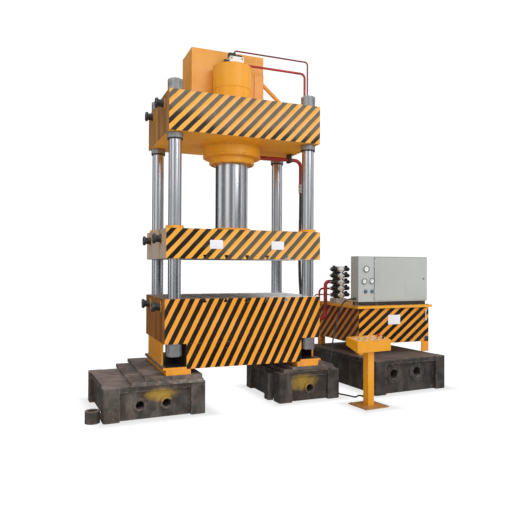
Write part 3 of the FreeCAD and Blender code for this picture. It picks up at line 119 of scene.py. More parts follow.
class Finish:
    # one material being built; add() makes any node from its type, its settings and its sockets' values or links
    def __init__(self, name, tree=None):
        if tree is None:
            self.material = bpy.data.materials.new(name)
            self.material.use_nodes = True
        self.tree = tree or self.material.node_tree
        self.tree.nodes.clear()
        if tree is not None:
            return
        self.place = self.add("ShaderNodeTexCoord", outlet="Object")
        self.x = self.add("ShaderNodeSeparateXYZ", sockets={0: self.place})
        self.y = self.x.out("Y")
        self.z = self.x.out("Z")

    def add(self, kind, settings=None, sockets=None, outlet=0):
        node = self.tree.nodes.new(kind)
        for key, value in (settings or {}).items():
            setattr(node, key, value)
        for key, value in (sockets or {}).items():
            inlet = node.inputs[key]
            if isinstance(value, Value):
                self.tree.links.new(value.socket, inlet)
            elif inlet.type == "VECTOR" and not isinstance(value, tuple):
                inlet.default_value = (value, value, value)
            elif inlet.type == "RGBA":
                inlet.default_value = (*value, 1)
            else:
                inlet.default_value = value
        return Value(self, node.outputs[outlet]) if node.outputs else None

    def noise(self, scale, detail=3, stretch=(1, 1, 1), roughness=0.55, shift=0):
        place = self.place * stretch + (shift, shift, shift)
        return self.add("ShaderNodeTexNoise", sockets={"Vector": place, "Scale": scale, "Detail": detail,
                                                       "Roughness": roughness})

    def step(self, value, start, end):  # rises smoothly from 0 at start to 1 at end
        return self.add("ShaderNodeMapRange", {"interpolation_type": "SMOOTHSTEP"}, {0: value, 1: start, 2: end})

    def fall(self, value, start, end):  # sinks smoothly from 1 at start to 0 at end
        return 1 - self.step(value, start, end)

    def patches(self, start, end, *noise, **more):  # noise cut into soft-edged patches
        return self.step(self.noise(*noise, **more), start, end)

    def one(self, operation, value):
        return self.add("ShaderNodeMath", {"operation": operation}, {0: value})

    def distance(self, value):  # how far a value is from zero
        return self.one("ABSOLUTE", value)

    def angle(self, across, ahead):
        return self.add("ShaderNodeMath", {"operation": "ARCTAN2"}, {0: across, 1: ahead})

    def larger(self, first, *others):
        for other in others:
            first = self.add("ShaderNodeMath", {"operation": "MAXIMUM"}, {0: first, 1: other})
        return first

    def blend(self, share, first, second):
        return self.add("ShaderNodeMix", {"data_type": "RGBA"}, {0: share, 6: first, 7: second}, 2)

    def between(self, value, start, end, soft=0.002):  # 1 inside a band, 0 outside
        return self.step(value, start - soft, start + soft) * self.fall(value, end - soft, end + soft)

    def atFace(self, value, face):  # 1 on a front or left face, 0 further in
        return self.fall(value, face + 0.001, face + 0.003)

    def edges(self, radius):  # how far the surface's own direction is from that of a rounded copy
        rounded = self.add("ShaderNodeBevel", {"samples": 3}, {"Radius": radius})
        flat = self.add("ShaderNodeNewGeometry", outlet="Normal")
        facing = self.add("ShaderNodeVectorMath", {"operation": "DOT_PRODUCT"}, {0: rounded, 1: flat}, "Value")
        return self.step(1 - facing, 0.01, 0.16)

    def shell(self, colour, rough, bump=None, **more):  # bump is its height, distance and strength
        sockets = {"Base Color": colour, "Roughness": rough, "IOR": 1.5}
        if bump is not None:
            sockets["Normal"] = self.add("ShaderNodeBump", sockets=dict(zip(("Height", "Distance", "Strength"), bump)))
        sockets.update({key.replace("_", " "): value for key, value in more.items()})
        shader = self.add("ShaderNodeBsdfPrincipled", sockets=sockets)
        self.add("ShaderNodeOutputMaterial", sockets={"Surface": shader})
        return self.material


tones = {
    "orange": (0.84, 0.385, 0.014), "orangeDeep": (0.68, 0.26, 0.010), "orangePale": (0.90, 0.43, 0.14),
    "orangeWarm": (0.82, 0.305, 0.008), "orangeDull": (0.70, 0.325, 0.030), "yellow": (0.73, 0.315, 0.003),
    "black": (0.007, 0.0045, 0.003), "sheenAndFilm": (0.17, 0.15, 0.105), "dust": (0.42, 0.36, 0.28),
    "grime": (0.05, 0.035, 0.022), "primer": (0.22, 0.16, 0.12), "rust": (0.19, 0.075, 0.030),
    "rustDark": (0.07, 0.032, 0.018), "lowBandGrey": (0.14, 0.12, 0.105), "hollow": (0.020, 0.018, 0.018),
    "bright": (0.95, 0.95, 0.95), "bareDark": (0.26, 0.215, 0.18), "brushed": (0.66, 0.66, 0.66),
    "steel": (0.64, 0.66, 0.70), "iron": (0.040, 0.035, 0.031), "ironPale": (0.115, 0.098, 0.084),
    "ironPink": (0.285, 0.222, 0.200), "ironRun": (0.175, 0.145, 0.12), "scar": (0.42, 0.39, 0.36),
    "ironEdge": (0.33, 0.28, 0.24), "spray": (0.52, 0.31, 0.016),
}


def lighter(tone, times, more=0.0):
    return tuple(min(1, part * times + more) for part in tone)


def stripeBlack(f, faces):
    # black where the cosine of the distance across the bands is below its share, on each named face
    blacks = []
    for face in faces:
        along, depth = (f.x, f.y) if face["across"] == "x" else (f.y, f.x)
        ragged = (f.noise(9, 2) - 0.5) * 0.5
        wave = f.one("COSINE", (along - f.z * face["lean"]) * (tau / face["pitch"]) + face["phase"] + ragged)
        black = f.fall(wave, face["share"] - 0.09, face["share"] + 0.09) * f.atFace(depth * face["side"], face["edge"])
        if "clear" in face:  # none on the ends of the low strip
            ends = f.step(f.distance(f.x), face["clear"] - 0.001, face["clear"])
            black = black * (1 - ends * f.fall(f.z, face["top"], face["top"] + 0.001))
        if "from" in face:
            black = black * f.step(f.z, face["from"] - 0.001, face["from"] + 0.001)
        blacks.append(black)
    return f.larger(*blacks)


def enamel(name, tone="orange", faces=(), streaks=0.35, sheenAndFilm=None, wear=0.8, bare=None, sideShadeAndSheen=None, dirt=None,
           hollow=None, pale=0.25):
    # gloss enamel: slow colour drift, grimy runs, orange peel, chipped edges, painted bands and bare machined places;
    # where asked, also a painted sheen, painted side shade and painted shade in a recess
    f = Finish(name)
    drift = f.noise(1.1, 4, shift=3.1)
    runs = f.noise(6.5, 5, (1, 1, 0.10), shift=1.7)
    colour = f.blend(f.step(drift, 0.30, 0.72), tones[tone], tones["orangeDeep" if tone == "orange" else "orangeWarm"])
    colour = f.blend(0.62, colour, tones[tone])
    faded = f.patches(0.52 - pale * 0.5, 0.80 - pale * 0.4, 2.3, 3, shift=8) * pale
    colour = f.blend(faded, colour, tones["orangePale"])
    film = f.patches(0.30, 0.66, 1.6, 4, (1, 1, 1.6), shift=5.2)
    rough = 0.30 + drift * 0.16 + f.step(runs, 0.45, 0.7) * 0.10
    if faces:
        black = stripeBlack(f, faces)
        # without a painted sheen, a faint random film greys the black bands
        sheenAndFilmShare = film * 0.08
        if sheenAndFilm is not None:  # where asked, a painted sheen standing for a reflection: rising across the front, it greys the black bands and pales one side of each orange band, on the front only
            band = faces[0]
            rise = f.x * sheenAndFilm["x"] + f.z * sheenAndFilm["z"] + (film - 0.5) * sheenAndFilm["ragged"]
            sheenAndFilmShare = f.step(rise, sheenAndFilm["start"], sheenAndFilm["end"]) * sheenAndFilm["amount"]
            side = f.one("SINE", (f.x - f.z * band["lean"]) * (tau / band["pitch"]) + band["phase"])
            sheenHalf = f.step(side * 0.5 + (f.noise(4, 3, shift=12) - 0.5) * 1.6, -0.25, 0.35)
            colour = f.blend(sheenAndFilmShare * sheenHalf * f.atFace(f.y, band["edge"]), colour, tones["orangePale"])
        colour = f.blend(black, colour, f.blend(sheenAndFilmShare, tones["black"], tones["sheenAndFilm"]))
        rough = rough + black * 0.04
    colour = f.blend(f.step(runs, 0.50, 0.78) * streaks * 0.55, colour, tones["grime"])
    colour = f.blend(f.patches(0.66, 0.74, 55, 2, roughness=0.7) * 0.30, colour, tones["dust"])
    if sideShadeAndSheen is not None:  # painted shade on the left and right sides, the right one less so, with dark vertical streaks; on the slide a pale painted reflection instead
        right = f.step(f.x, sideShadeAndSheen["high"] - 0.003, sideShadeAndSheen["high"] - 0.001)
        paintedSide = f.larger(f.atFace(f.x, sideShadeAndSheen["low"]), right * 0.6)
        sideVariation = f.patches(0.25, 0.62, 9, 5, (1, 1, 0.07), shift=6) * 0.6 + 0.4
        colour = f.blend(paintedSide * sideVariation * sideShadeAndSheen["amount"], colour, sideShadeAndSheen["tone"])
        darkSideStreaks = f.patches(0.56, 0.72, 13, 4, (1, 1, 0.05), shift=9) * 0.7
        colour = f.blend(paintedSide * darkSideStreaks * sideShadeAndSheen["amount"], colour, tones["grime"])
    if dirt is not None:  # a second colour below a height, behind an unchanged front
        lowBandShare = f.fall(f.z, dirt["below"], dirt["below"] + 0.001) * (f.patches(0.30, 0.50, 7, 5, shift=3) * 0.5 + 0.5)
        if "front" in dirt:
            lowBandShare = lowBandShare * (1 - f.atFace(f.y, dirt["front"]))
        colour = f.blend(lowBandShare, colour, dirt["tone"])
    if hollow is not None:  # painted shade: a near-black band at a distance from the middle, behind the front, darkening the recess there
        inner, outer, front = hollow
        deep = f.between(f.distance(f.x), inner, outer, 0.0006) * f.step(f.y, front, front + 0.002)
        colour = f.blend(deep * 0.95, colour, tones["hollow"])
    chips = f.edges(0.012) * f.patches(0.50, 0.60, 34, 4, shift=2) * wear
    chips = f.larger(chips, f.patches(0.70, 0.76, 14, 6, (1, 6, 1), 0.7) * 0.35 * wear)
    colour = f.blend(chips, colour, tones["primer"])
    height = f.noise(120, 2) * 0.25 + f.noise(8, 2) * 0.9 - chips * 0.9
    metal = chips * 0.25
    rough = rough + chips * 0.25
    if bare is not None:  # machined steel, bright at the right and darker at the left
        bareHere = bare(f)
        grain = f.noise(5, 4, (1, 45, 1), 0.7)
        # darker towards the left, across the whole face, broken by noise
        darkerLeft = f.step(f.noise(2.4, 5, shift=4) * 0.5 - f.x * 0.75, -0.30, 0.30)
        steel = f.blend(darkerLeft, tones["bright"], tones["bareDark"])
        steel = f.blend(f.step(grain, 0.5, 0.75) * 0.3, steel, tones["brushed"])
        colour = f.blend(bareHere, colour, steel)
        metal = f.larger(metal, bareHere * darkerLeft * 0.30)
        rough = rough * (1 - bareHere) + bareHere * (0.42 + grain * 0.25)
        height = height * (1 - bareHere) + bareHere * grain * 0.4
    return f.shell(colour, rough, (height, 0.0012, 0.45), Metallic=metal, IOR=1.40, Coat_Weight=0.08,
                   Coat_Roughness=0.15)


def brightSteel(name, scale=1.0, base=0.13):
    # ground and chromed bars: fine rings round the bar, lengthwise lapping marks, oil film and smears
    f = Finish(name)
    rings = f.noise(3, 3, (1, 1, 260 * scale), 0.6)
    laps = f.noise(16, 3, (1, 1, 0.03), 0.5, 2)
    film = f.patches(0.42, 0.72, 2.2, 4, (1, 1, 0.5))
    colour = f.blend(film * 0.55, tones["steel"], (0.50, 0.52, 0.56))
    colour = f.blend(f.step(laps, 0.45, 0.68) * 0.35, colour, (0.76, 0.77, 0.79))
    smear = f.patches(0.64, 0.78, 13, 4, (1, 1, 0.3), shift=7)
    colour = f.blend(smear * 0.5, colour, (0.20, 0.19, 0.18))
    rough = base + film * 0.10 + rings * 0.07 + smear * 0.15 - f.fall(f.z, 1.5, 1.9) * base * 0.22
    return f.shell(colour, rough, (rings * 0.4 + laps * 0.6, 0.0003, 0.25), Metallic=1 - smear * 0.3)


def machined(name, tone=(0.50, 0.51, 0.52), turned=True, grooves=(), stain=0.5, gloss=0.26):
    # turned nuts and fittings: tool rings, worn edges, a little surface rust and dark grooves
    f = Finish(name)
    rings = f.noise(4, 2, (1, 1, 190) if turned else (1, 60, 1), 0.6)
    rust = f.patches(0.56, 0.72, 9, 6, shift=4) * stain
    colour = f.blend(f.step(rings, 0.35, 0.7) * 0.6, tone, lighter(tone, 1.4))
    colour = f.blend(rust * 0.7, colour, (0.16, 0.10, 0.07))
    for low, high in grooves:
        colour = f.blend(f.between(f.z, low, high, 0.0015), colour, (0.05, 0.048, 0.046))
    colour = f.blend(f.edges(0.006) * 0.6, colour, (0.80, 0.80, 0.80))
    return f.shell(colour, gloss + rings * 0.16 + rust * 0.3, (rings + f.noise(50, 3) * 0.4, 0.0006, 0.4),
                   Metallic=0.95 - rust * 0.5)


def castIron(name, dark=1.0, dustAndSheenAmount=1.0, sprays=(), scuff=0.5):
    # raw castings: dark scale, rust bloom, a pale top that is partly dust and partly painted sheen, vertical dirt runs,
    # scuffs and stray paint
    f = Finish(name)
    scale = f.noise(7, 7, roughness=0.65)
    bloom = f.patches(0.42, 0.66, 2.1, 6, shift=2)
    runs = f.noise(8, 5, (1, 1, 0.16), 0.6, 6)
    grain = f.noise(70, 3, roughness=0.7)
    pits = f.add("ShaderNodeTexVoronoi", sockets={"Vector": f.place, "Scale": 38})
    colour = f.blend(f.step(scale, 0.38, 0.68), tones["iron"], tones["ironPale"])
    colour = f.blend(bloom * 0.60, colour, tones["rustDark"])
    colour = f.blend(f.step(runs, 0.50, 0.74) * 0.75, colour, tones["ironRun"])
    colour = f.blend(f.step(grain, 0.60, 0.75) * 0.30, colour, tones["rust"])
    # upward faces paled towards pink: partly dust, partly a painted sheen
    up = f.add("ShaderNodeNewGeometry", outlet="Normal")
    top = f.step(f.add("ShaderNodeSeparateXYZ", sockets={0: up}, outlet="Z"), 0.5, 0.9)
    dustAndSheenTop = top * (0.45 + f.patches(0.35, 0.6, 3.2, 5, shift=9) * 0.5) * dustAndSheenAmount
    colour = f.blend(1 - dark, colour, (0.012, 0.011, 0.011))
    colour = f.blend(dustAndSheenTop, colour, tones["ironPink"])
    scars = f.patches(0.66, 0.71, 16, 6, (1, 1, 0.5), 0.72, 5) * scuff
    colour = f.blend(scars, colour, tones["scar"])
    colour = f.blend(f.edges(0.02) * f.patches(0.40, 0.60, 22, 3) * 0.55, colour, tones["ironEdge"])
    for x, z, wide, tall, ground in sprays:  # an oval cloud, ragged at its rim, on the front face only
        reach = f.distance(f.x - x) * (1 / wide)
        rise = f.distance(f.z - z) * (1 / tall)
        cloud = f.fall(reach * reach + rise * rise + (f.noise(8, 5) - 0.5) * 2.6, -0.2, 1.6)
        cloud = cloud * f.fall(f.y, ground, ground + 0.05) * (f.patches(0.20, 0.60, 70, 3) * 0.5 + 0.5)
        colour = f.blend(cloud * 0.72, colour, tones["spray"])
    height = scale * 1.4 + grain * 0.35 - f.step(pits, 0.25, 0.0) * 0.25
    return f.shell(colour, 0.62 + grain * 0.25 - scars * 0.2, (height, 0.006, 0.75), Metallic=scars * 0.5, IOR=1.45)


def millScale(name):
    # rolled plate: blue-brown scale flaking to rust, cut edges lighter
    f = Finish(name)
    flakes = f.patches(0.47, 0.60, 12, 6, roughness=0.6)
    dirt = f.noise(3, 5, shift=4)
    colour = f.blend(flakes, (0.115, 0.100, 0.095), (0.20, 0.14, 0.105))
    colour = f.blend(f.step(dirt, 0.45, 0.7) * 0.75, colour, (0.33, 0.28, 0.25))
    colour = f.blend(f.edges(0.008) * 0.4, colour, (0.36, 0.31, 0.27))
    return f.shell(colour, 0.55 + dirt * 0.3, (flakes * 0.6 + f.noise(60, 3) * 0.4, 0.002, 0.6),
                   Metallic=0.35 - flakes * 0.3, IOR=1.45)


def coated(name, tone, shade=0.86, texture=260, gloss=0.42, dirt=0.35):
    # textured powder coat: fine pebbles, finger marks and a painted highlight along the edges
    f = Finish(name)
    cloud = f.noise(1.8, 4, shift=2)
    pebbles = f.noise(texture, 2)
    marks = f.patches(0.58, 0.78, 7, 5, (1, 1, 0.4), shift=5)
    colour = f.blend(f.step(cloud, 0.3, 0.75), tone, tuple(part * shade for part in tone))
    colour = f.blend(marks * dirt, colour, tuple(part * 0.62 for part in tone))
    # painted highlight: every edge lighter
    colour = f.blend(f.edges(0.01) * 0.35, colour, lighter(tone, 1.25))
    return f.shell(colour, gloss + pebbles * 0.14 + marks * 0.10, (pebbles * 0.5 + cloud, 0.0006, 0.35))


# valve stack: x, front face and lowest joint, then the levels and the coils on both sides
stack = {"x": 1.950, "face": 0.605, "low": 1.190, "pitch": 0.096, "levels": 5, "middle": 0.054, "top": 1.640,
         "coilY": 0.636, "coil": 0.031, "coilStart": 0.066, "coilLength": 0.072, "ribs": 11, "rib": 0.0012,
         "plug": (0.034, 0.040, 0.026), "plugAt": 0.104, "nut": (0.017, 0.012), "nutAt": 0.148, "tailAt": 0.158,
         "tail": [(0, 0), (0.009, 0), (0.009, 0.016), (0.006, 0.020), (0, 0.020)],
         "cover": [(0, 0), (0.055, 0), (0.057, 0.003), (0.057, 0.012), (0.046, 0.020), (0.020, 0.022), (0.016, 0.028),
                   (0, 0.028)], "coverDrop": 0.006, "screwAt": 0.030, "screwFace": 0.019}


def stackPaint(name):
    # dark valve bodies with a darker joint at each level's edge, grey at the foot and above the top level
    f = Finish(name)
    cloud = f.noise(30, 4)
    joint = f.distance(f.one("FRACT", (f.z - stack["low"]) * (1 / stack["pitch"])) - 0.5)
    colour = f.blend(f.step(cloud, 0.35, 0.7) * 0.5, (0.10, 0.10, 0.105), (0.22, 0.22, 0.22))
    aboveFoot = f.step(f.z, stack["low"] + 0.003, stack["low"] + 0.006)
    colour = f.blend(f.step(joint, 0.33, 0.37) * aboveFoot, colour, (0.03, 0.03, 0.032))
    foot = f.fall(f.z, stack["low"] - 0.002, stack["low"] + 0.001)
    colour = f.blend(f.larger(foot, f.step(f.z, stack["top"], stack["top"] + 0.005)), colour, (0.52, 0.52, 0.50))
    return f.shell(colour, 0.28 + cloud * 0.2, (cloud, 0.0005, 0.3))


def moulded(name, tone, gloss=0.30, lift=1.5, metal=0.0):
    # moulded plastic or rubber: faint flow marks, dust in the hollows and rubbed edges
    f = Finish(name)
    flow = f.noise(18, 4)
    grit = f.noise(220, 2)
    dust = f.patches(0.55, 0.80, 12, 5, shift=3) * 0.28
    colour = f.blend(f.step(flow, 0.3, 0.7), tone, lighter(tone, lift))
    colour = f.blend(dust, colour, (0.30, 0.28, 0.25))
    colour = f.blend(f.edges(0.004) * 0.3, colour, lighter(tone, 1.8, 0.03))
    return f.shell(colour, gloss + dust * 0.6 + grit * 0.08, (grit * 0.4 + flow, 0.0004, 0.35), Metallic=metal,
                   IOR=1.49)


def zoned(name, zones, gloss=0.24):
    # one moulded finish whose colour changes at set places from left to right
    f = Finish(name)
    grit = f.noise(180, 2)
    colour = zones[0][1]
    for start, tone in zones[1:]:
        colour = f.blend(f.step(f.x, start - 0.0005, start + 0.0005), colour, tone)
    colour = f.blend(f.patches(0.55, 0.8, 30, 4) * 0.3, colour, (0.28, 0.27, 0.25))
    return f.shell(colour, gloss + grit * 0.12, (grit, 0.0003, 0.3), Coat_Weight=0.4, Coat_Roughness=0.08)


def pipePaint(name, tone, shade):
    # brushed pipe paint: brush marks along the run, scuffs and rust at bends
    f = Finish(name)
    brush = f.noise(26, 4, (0.3, 0.3, 0.3), 0.6)
    scuffs = f.patches(0.64, 0.70, 21, 5, shift=6) * 0.6
    colour = f.blend(f.patches(0.3, 0.7, 3.5, 4, shift=2), tone, shade)
    colour = f.blend(scuffs, colour, (0.30, 0.20, 0.17))
    return f.shell(colour, 0.34 + brush * 0.16 + scuffs * 0.2, (brush + f.noise(90, 2) * 0.3 - scuffs, 0.0008, 0.4),
                   Coat_Weight=0.2)


def dialPaint(name):
    # meter faces: pale card with a ring of ticks, from each disc's own map with its middle at (0.5, 0.5)
    f = Finish(name)
    u = f.add("ShaderNodeSeparateXYZ", sockets={0: f.add("ShaderNodeUVMap", {"uv_map": "dial"})})
    right = (u - 0.5) * 2
    up = (u.out("Y") - 0.5) * 2
    reach = f.one("SQRT", right * right + up * up)
    turn = f.angle(right, up) * (1 / tau)
    fine, coarse = (f.distance(f.one("FRACT", turn * count + 0.5) - 0.5) for count in (40, 10))
    sweep = f.fall(f.distance(turn), 0.37, 0.38)
    ticks = f.larger(f.fall(fine, 0.10, 0.16) * f.between(reach, 0.80, 0.90, 0.01),
                     f.fall(coarse, 0.045, 0.07) * f.between(reach, 0.68, 0.90, 0.01)) * sweep
    ticks = f.larger(ticks, f.step(reach, 0.90, 0.93))
    stain = f.noise(40, 3)
    colour = f.blend(ticks, f.blend(stain, (0.86, 0.87, 0.86), (0.76, 0.78, 0.78)), (0.02, 0.02, 0.025))
    return f.shell(colour, 0.30 + stain * 0.2, (stain, 0.0002, 0.2), Coat_Weight=0.8, Coat_Roughness=0.03)


def cordSkin(name, tone, weave):
    # rubber or braid: fine crossed ribs from the object's own places, chalky scuffs and dust
    f = Finish(name)
    ribs = f.one("SINE", (f.z + f.x * 0.7) * weave) * f.one("SINE", (f.z - f.y * 0.7) * weave)
    scuff = f.patches(0.58, 0.72, 24, 5)
    dust = f.patches(0.45, 0.75, 5, 4, shift=4)
    colour = f.blend(dust * 0.35, tone, (0.15, 0.14, 0.13))
    colour = f.blend(scuff * 0.35, colour, (0.24, 0.23, 0.22))
    return f.shell(colour, 0.42 + scuff * 0.2 + dust * 0.15, (ribs * 0.4 + f.noise(150, 2) * 0.6, 0.0010, 0.5))


# forms: a form is an array of points and the list of its faces
def gridForm(points, wrap=True, wrapRows=False, capLow=False, capHigh=False):
    # joins a grid of points, rows by columns; wrap closes the columns, wrapRows the rows, a cap closes an end row
    rows, columns = points.shape[:2]
    index = np.arange(rows * columns).reshape(rows, columns)
    if wrapRows:
        index = np.vstack([index, index[:1]])
    if wrap:
        index = np.hstack([index, index[:, :1]])
    quads = np.stack([index[:-1, :-1], index[:-1, 1:], index[1:, 1:], index[1:, :-1]], -1).reshape(-1, 4).tolist()
    if capLow:
        quads.append(index[0, :columns][::-1].tolist())
    if capHigh:
        quads.append(index[-1, :columns].tolist())
    return points.reshape(-1, 3), quads


def axesFor(direction):
    # three unit rows, each square to the others, whose last is the direction
    ahead = np.array(direction, float) / np.linalg.norm(direction)
    side = np.cross((0, 0, 1) if abs(ahead[2]) < 0.9 else (0, 1, 0), ahead)
    side /= np.linalg.norm(side)
    return np.array([side, np.cross(ahead, side), ahead])


def placed(form, origin, axes=None):
    # each point becomes origin + x times the first axis + y times the second + z times the third
    points = form[0] if axes is None else form[0] @ np.array(axes)
    return points + np.array(origin, float), form[1]


def spread(forms, spots, axes=None):
    return [placed(form, spot, axes) for spot in spots for form in forms]


def circleSpots(x, y, z, radius, angles):
    # (x + radius cos angle, y + radius sin angle, z) for each angle
    return [(x + radius * math.cos(angle), y + radius * math.sin(angle), z) for angle in angles]


def turnedForm(profile, count=32):
    # point = (radius cos angle, radius sin angle, height), for each radius and height of the profile
    radius, height = np.array(profile, float).T
    angle = np.arange(count) * tau / count
    points = np.stack([radius[:, None] * np.cos(angle), radius[:, None] * np.sin(angle),
                       np.repeat(height[:, None], count, 1)], -1)
    return gridForm(points)


def ringForm(outer, inner, height, edge=0.001, count=32):
    # a washer with its outer corners rounded: a closed profile turned about the axis
    return turnedForm([(inner, 0), (outer - edge, 0), (outer, edge), (outer, height - edge), (outer - edge, height),
                       (inner + edge, height), (inner, height - edge), (inner, 0)], count)


def outlinePoints(halfX, halfY, corner, steps=4):
    # rounded rectangle: each quarter is a corner's centre plus radius times (cos angle, sin angle)
    angle = np.concatenate([np.linspace(quarter, quarter + 1, steps) * tau / 4 for quarter in range(4)])
    signX = np.repeat([1, -1, -1, 1], steps)
    signY = np.repeat([1, 1, -1, -1], steps)
    return np.stack([signX * (halfX - corner) + corner * np.cos(angle),
                     signY * (halfY - corner) + corner * np.sin(angle)], -1)


def blockForm(size, corner=0.004, edge=0.002, steps=4):
    # the rounded outline carried up the height, drawn in at both ends by edge (1 - sin) while it rises edge (1 - cos)
    lift = np.linspace(0, tau / 4, 4)
    inset = edge * (1 - np.sin(lift))
    rise = edge * (1 - np.cos(lift))
    inset = np.concatenate([inset, inset[::-1]])
    height = np.concatenate([rise, size[2] - rise[::-1]])
    rows = [outlinePoints(size[0] / 2 - step, size[1] / 2 - step, max(corner - step, 0.0005), steps) for step in inset]
    points = np.concatenate([np.array(rows), np.repeat(height[:, None], 4 * steps, 1)[..., None]], -1)
    return gridForm(points, capLow=True, capHigh=True)


def tubeForm(path, radius, count=12, closed=False, away=(0, 0, 1)):
    # a circle carried along a path: centre + radius (side cos + up sin), side square to the path and to away
    path = np.array(path, float)
    ahead = np.roll(path, -1, 0) - np.roll(path, 1, 0) if closed else np.gradient(path, axis=0)
    ahead /= np.linalg.norm(ahead, axis=1)[:, None]
    side = np.cross(ahead, np.broadcast_to(away, ahead.shape))
    side /= np.linalg.norm(side, axis=1)[:, None]
    up = np.cross(side, ahead)
    angle = np.arange(count) * tau / count
    radius = np.broadcast_to(radius, len(path))[:, None, None]
    points = path[:, None] + radius * (side[:, None] * np.cos(angle)[:, None] + up[:, None] * np.sin(angle)[:, None])
    return gridForm(points, wrapRows=closed, capLow=not closed, capHigh=not closed)


def alongPath(path, distances):
    # distances worked out from a line's whole length, and the points at those distances along it
    run = np.concatenate([[0], np.cumsum(np.linalg.norm(np.diff(path, axis=0), axis=1))])
    wanted = distances(run[-1])
    return wanted, np.stack([np.interp(wanted, run, path[:, axis]) for axis in range(3)], -1)


def beadForm(path, radius=0.005, pitch=0.012, closed=False, away=(0, 0, 1)):
    # a weld: a tube whose radius swells and sinks by an eighth with the cosine of the distance run
    fine, line = alongPath(np.array(path, float),
                           lambda length: np.linspace(0, length, max(8, int(length / pitch * 4)), endpoint=not closed))
    return tubeForm(line, radius * (1 + 0.12 * np.cos(fine * tau / pitch)), 8, closed, away)


def circlePath(centre, radius, axis, count=60):
    # centre + radius (side cos angle + up sin angle), closed on its first point
    side, up, _ = axesFor(axis)
    angle = np.linspace(0, tau, count + 1)[:, None]
    return np.array(centre) + radius * (side * np.cos(angle) + up * np.sin(angle))


def boltForm(size, height, washer=True):
    # hexagon head with its rim turned off, on a round washer
    head = turnedForm([(0, 0), (size * 0.55, 0), (size * 0.577, height * 0.15), (size * 0.577, height * 0.85),
                       (size * 0.50, height), (0, height)], 6)
    forms = [placed(head, (0, 0, size * 0.10 if washer else 0))]
    if washer:
        forms.append(turnedForm([(0, 0), (size * 0.78, 0), (size * 0.78, size * 0.1), (0, size * 0.1)], 18))
    return forms


def hexForm(size, length):
    # six-sided bar turned about its axis, its end corners drawn in by a twelfth
    return turnedForm([(0, 0), (size * 0.92, 0), (size, length * 0.15), (size, length * 0.85), (size * 0.92, length),
                       (0, length)], 6)


def meshFrom(name, forms):
    # one mesh holding every form, each form's faces counted on from the points before it
    points = np.concatenate([form[0] for form in forms])
    starts = np.cumsum([0] + [len(form[0]) for form in forms])
    faces = [[corner + int(start) for corner in face] for form, start in zip(forms, starts) for face in form[1]]
    mesh = bpy.data.meshes.new(name)
    mesh.from_pydata(points.tolist(), [], faces)
    return mesh


def mendMesh(mesh, front=None):
    # merges doubles, drops empty faces and turns faces outwards, or on open discs towards the front
    work = bmesh.new()
    work.from_mesh(mesh)
    bmesh.ops.remove_doubles(work, verts=work.verts, dist=1e-6)
    bmesh.ops.dissolve_degenerate(work, edges=work.edges, dist=1e-7)
    if front is None:
        bmesh.ops.recalc_face_normals(work, faces=work.faces)
    else:
        for face in work.faces:
            if face.normal.dot(front) < 0:
                face.normal_flip()
    work.to_mesh(mesh)
    work.free()


def addPiece(name, mesh, material, node, body="frame_body"):
    # a piece gets its material and rides a body
    mesh.materials.append(material)
    piece = addObject(name, mesh)
    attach(piece, body)
    node + "_finish"
    return piece


def makePiece(name, forms, material, node, body="frame_body", sharp=35):
    # one mesh from many forms, smooth but for edges past the sharp angle
    mesh = meshFrom(name, forms)
    mendMesh(mesh)
    mesh.shade_smooth()
    mesh.set_sharp_from_angle(angle=math.radians(sharp))
    return addPiece(name, mesh, material, node, body)


# painted bands: the lean is the run across for each metre of height, the share moves black against orange
crownLow, crownHigh = boxes["crown"]
slideLow, slideHigh = boxes["slide"]
bedLow, bedHigh = boxes["bed"]
tankLow, tankHigh = boxes["unit_tank"]
baseLow = boxes["bed_base"][0]


def band(*values):
    return dict(zip(("across", "side", "edge", "lean", "pitch", "phase", "share"), values))


legTop = 0.590
bands = {
    "crown": [band("x", 1, crownLow[1], 0.949, 0.1330, -0.774, 0.0)],
    "slide": [band("x", 1, slideLow[1], 0.933, 0.1360, 1.418, 0.0)],
    "bed": [band("x", 1, bedLow[1], 0.506, 0.1140, -0.62, 0.10)],
    "tank": [{**band(*spec), "from": legTop} for spec in (
        ("x", 1, tankLow[1], 1.280, 0.1700, -2.888, 0.12), ("y", 1, tankLow[0], -1.15, 0.1600, 0.6, 0.15),
        ("y", -1, -tankHigh[0], 1.15, 0.1600, 0.6, 0.15), ("x", -1, -tankHigh[1], -1.28, 0.1700, 0.3, 0.12))],
}
basePlate = {"top": baseLow[2] + 0.0252, "inner": 0.7145, "outer": 0.9440}
tees = {"pitch": 0.255, "half": 0.0255, "deep": 0.049, "outer": 0.545}


def teeRoom(f, low, high, front):
    # near one of the five tee slots, inside a height band and behind the front face
    near = f.distance(f.one("FRACT", f.x * (1 / tees["pitch"]) + 10.5) - 0.5) * tees["pitch"]
    room = f.fall(near, tees["half"], tees["half"] + 0.0007) * f.between(f.z, low, high)
    room = room * f.fall(f.distance(f.x), tees["outer"], tees["outer"] + 0.005)
    return room * f.step(f.y, front + 0.0008, front + 0.0016)


def bedBare(f):
    table = f.step(f.z, bedHigh[2] - 0.0012, bedHigh[2] - 0.0006)
    return f.larger(table, teeRoom(f, bedHigh[2] - tees["deep"], bedHigh[2] + 0.01, bedLow[1]))


def slideBare(f):
    face = f.fall(f.z, slideLow[2] + 0.0006, slideLow[2] + 0.0012)
    return f.larger(face, teeRoom(f, slideLow[2] - 0.01, slideLow[2] + tees["deep"], slideLow[1]))


# a node's left and right faces, for painted shade on them (a pale painted reflection on the slide)
def sideShadeAndSheenOf(node, tone, amount):
    return {"low": boxes[node][0][0], "high": boxes[node][1][0], "tone": tone, "amount": amount}


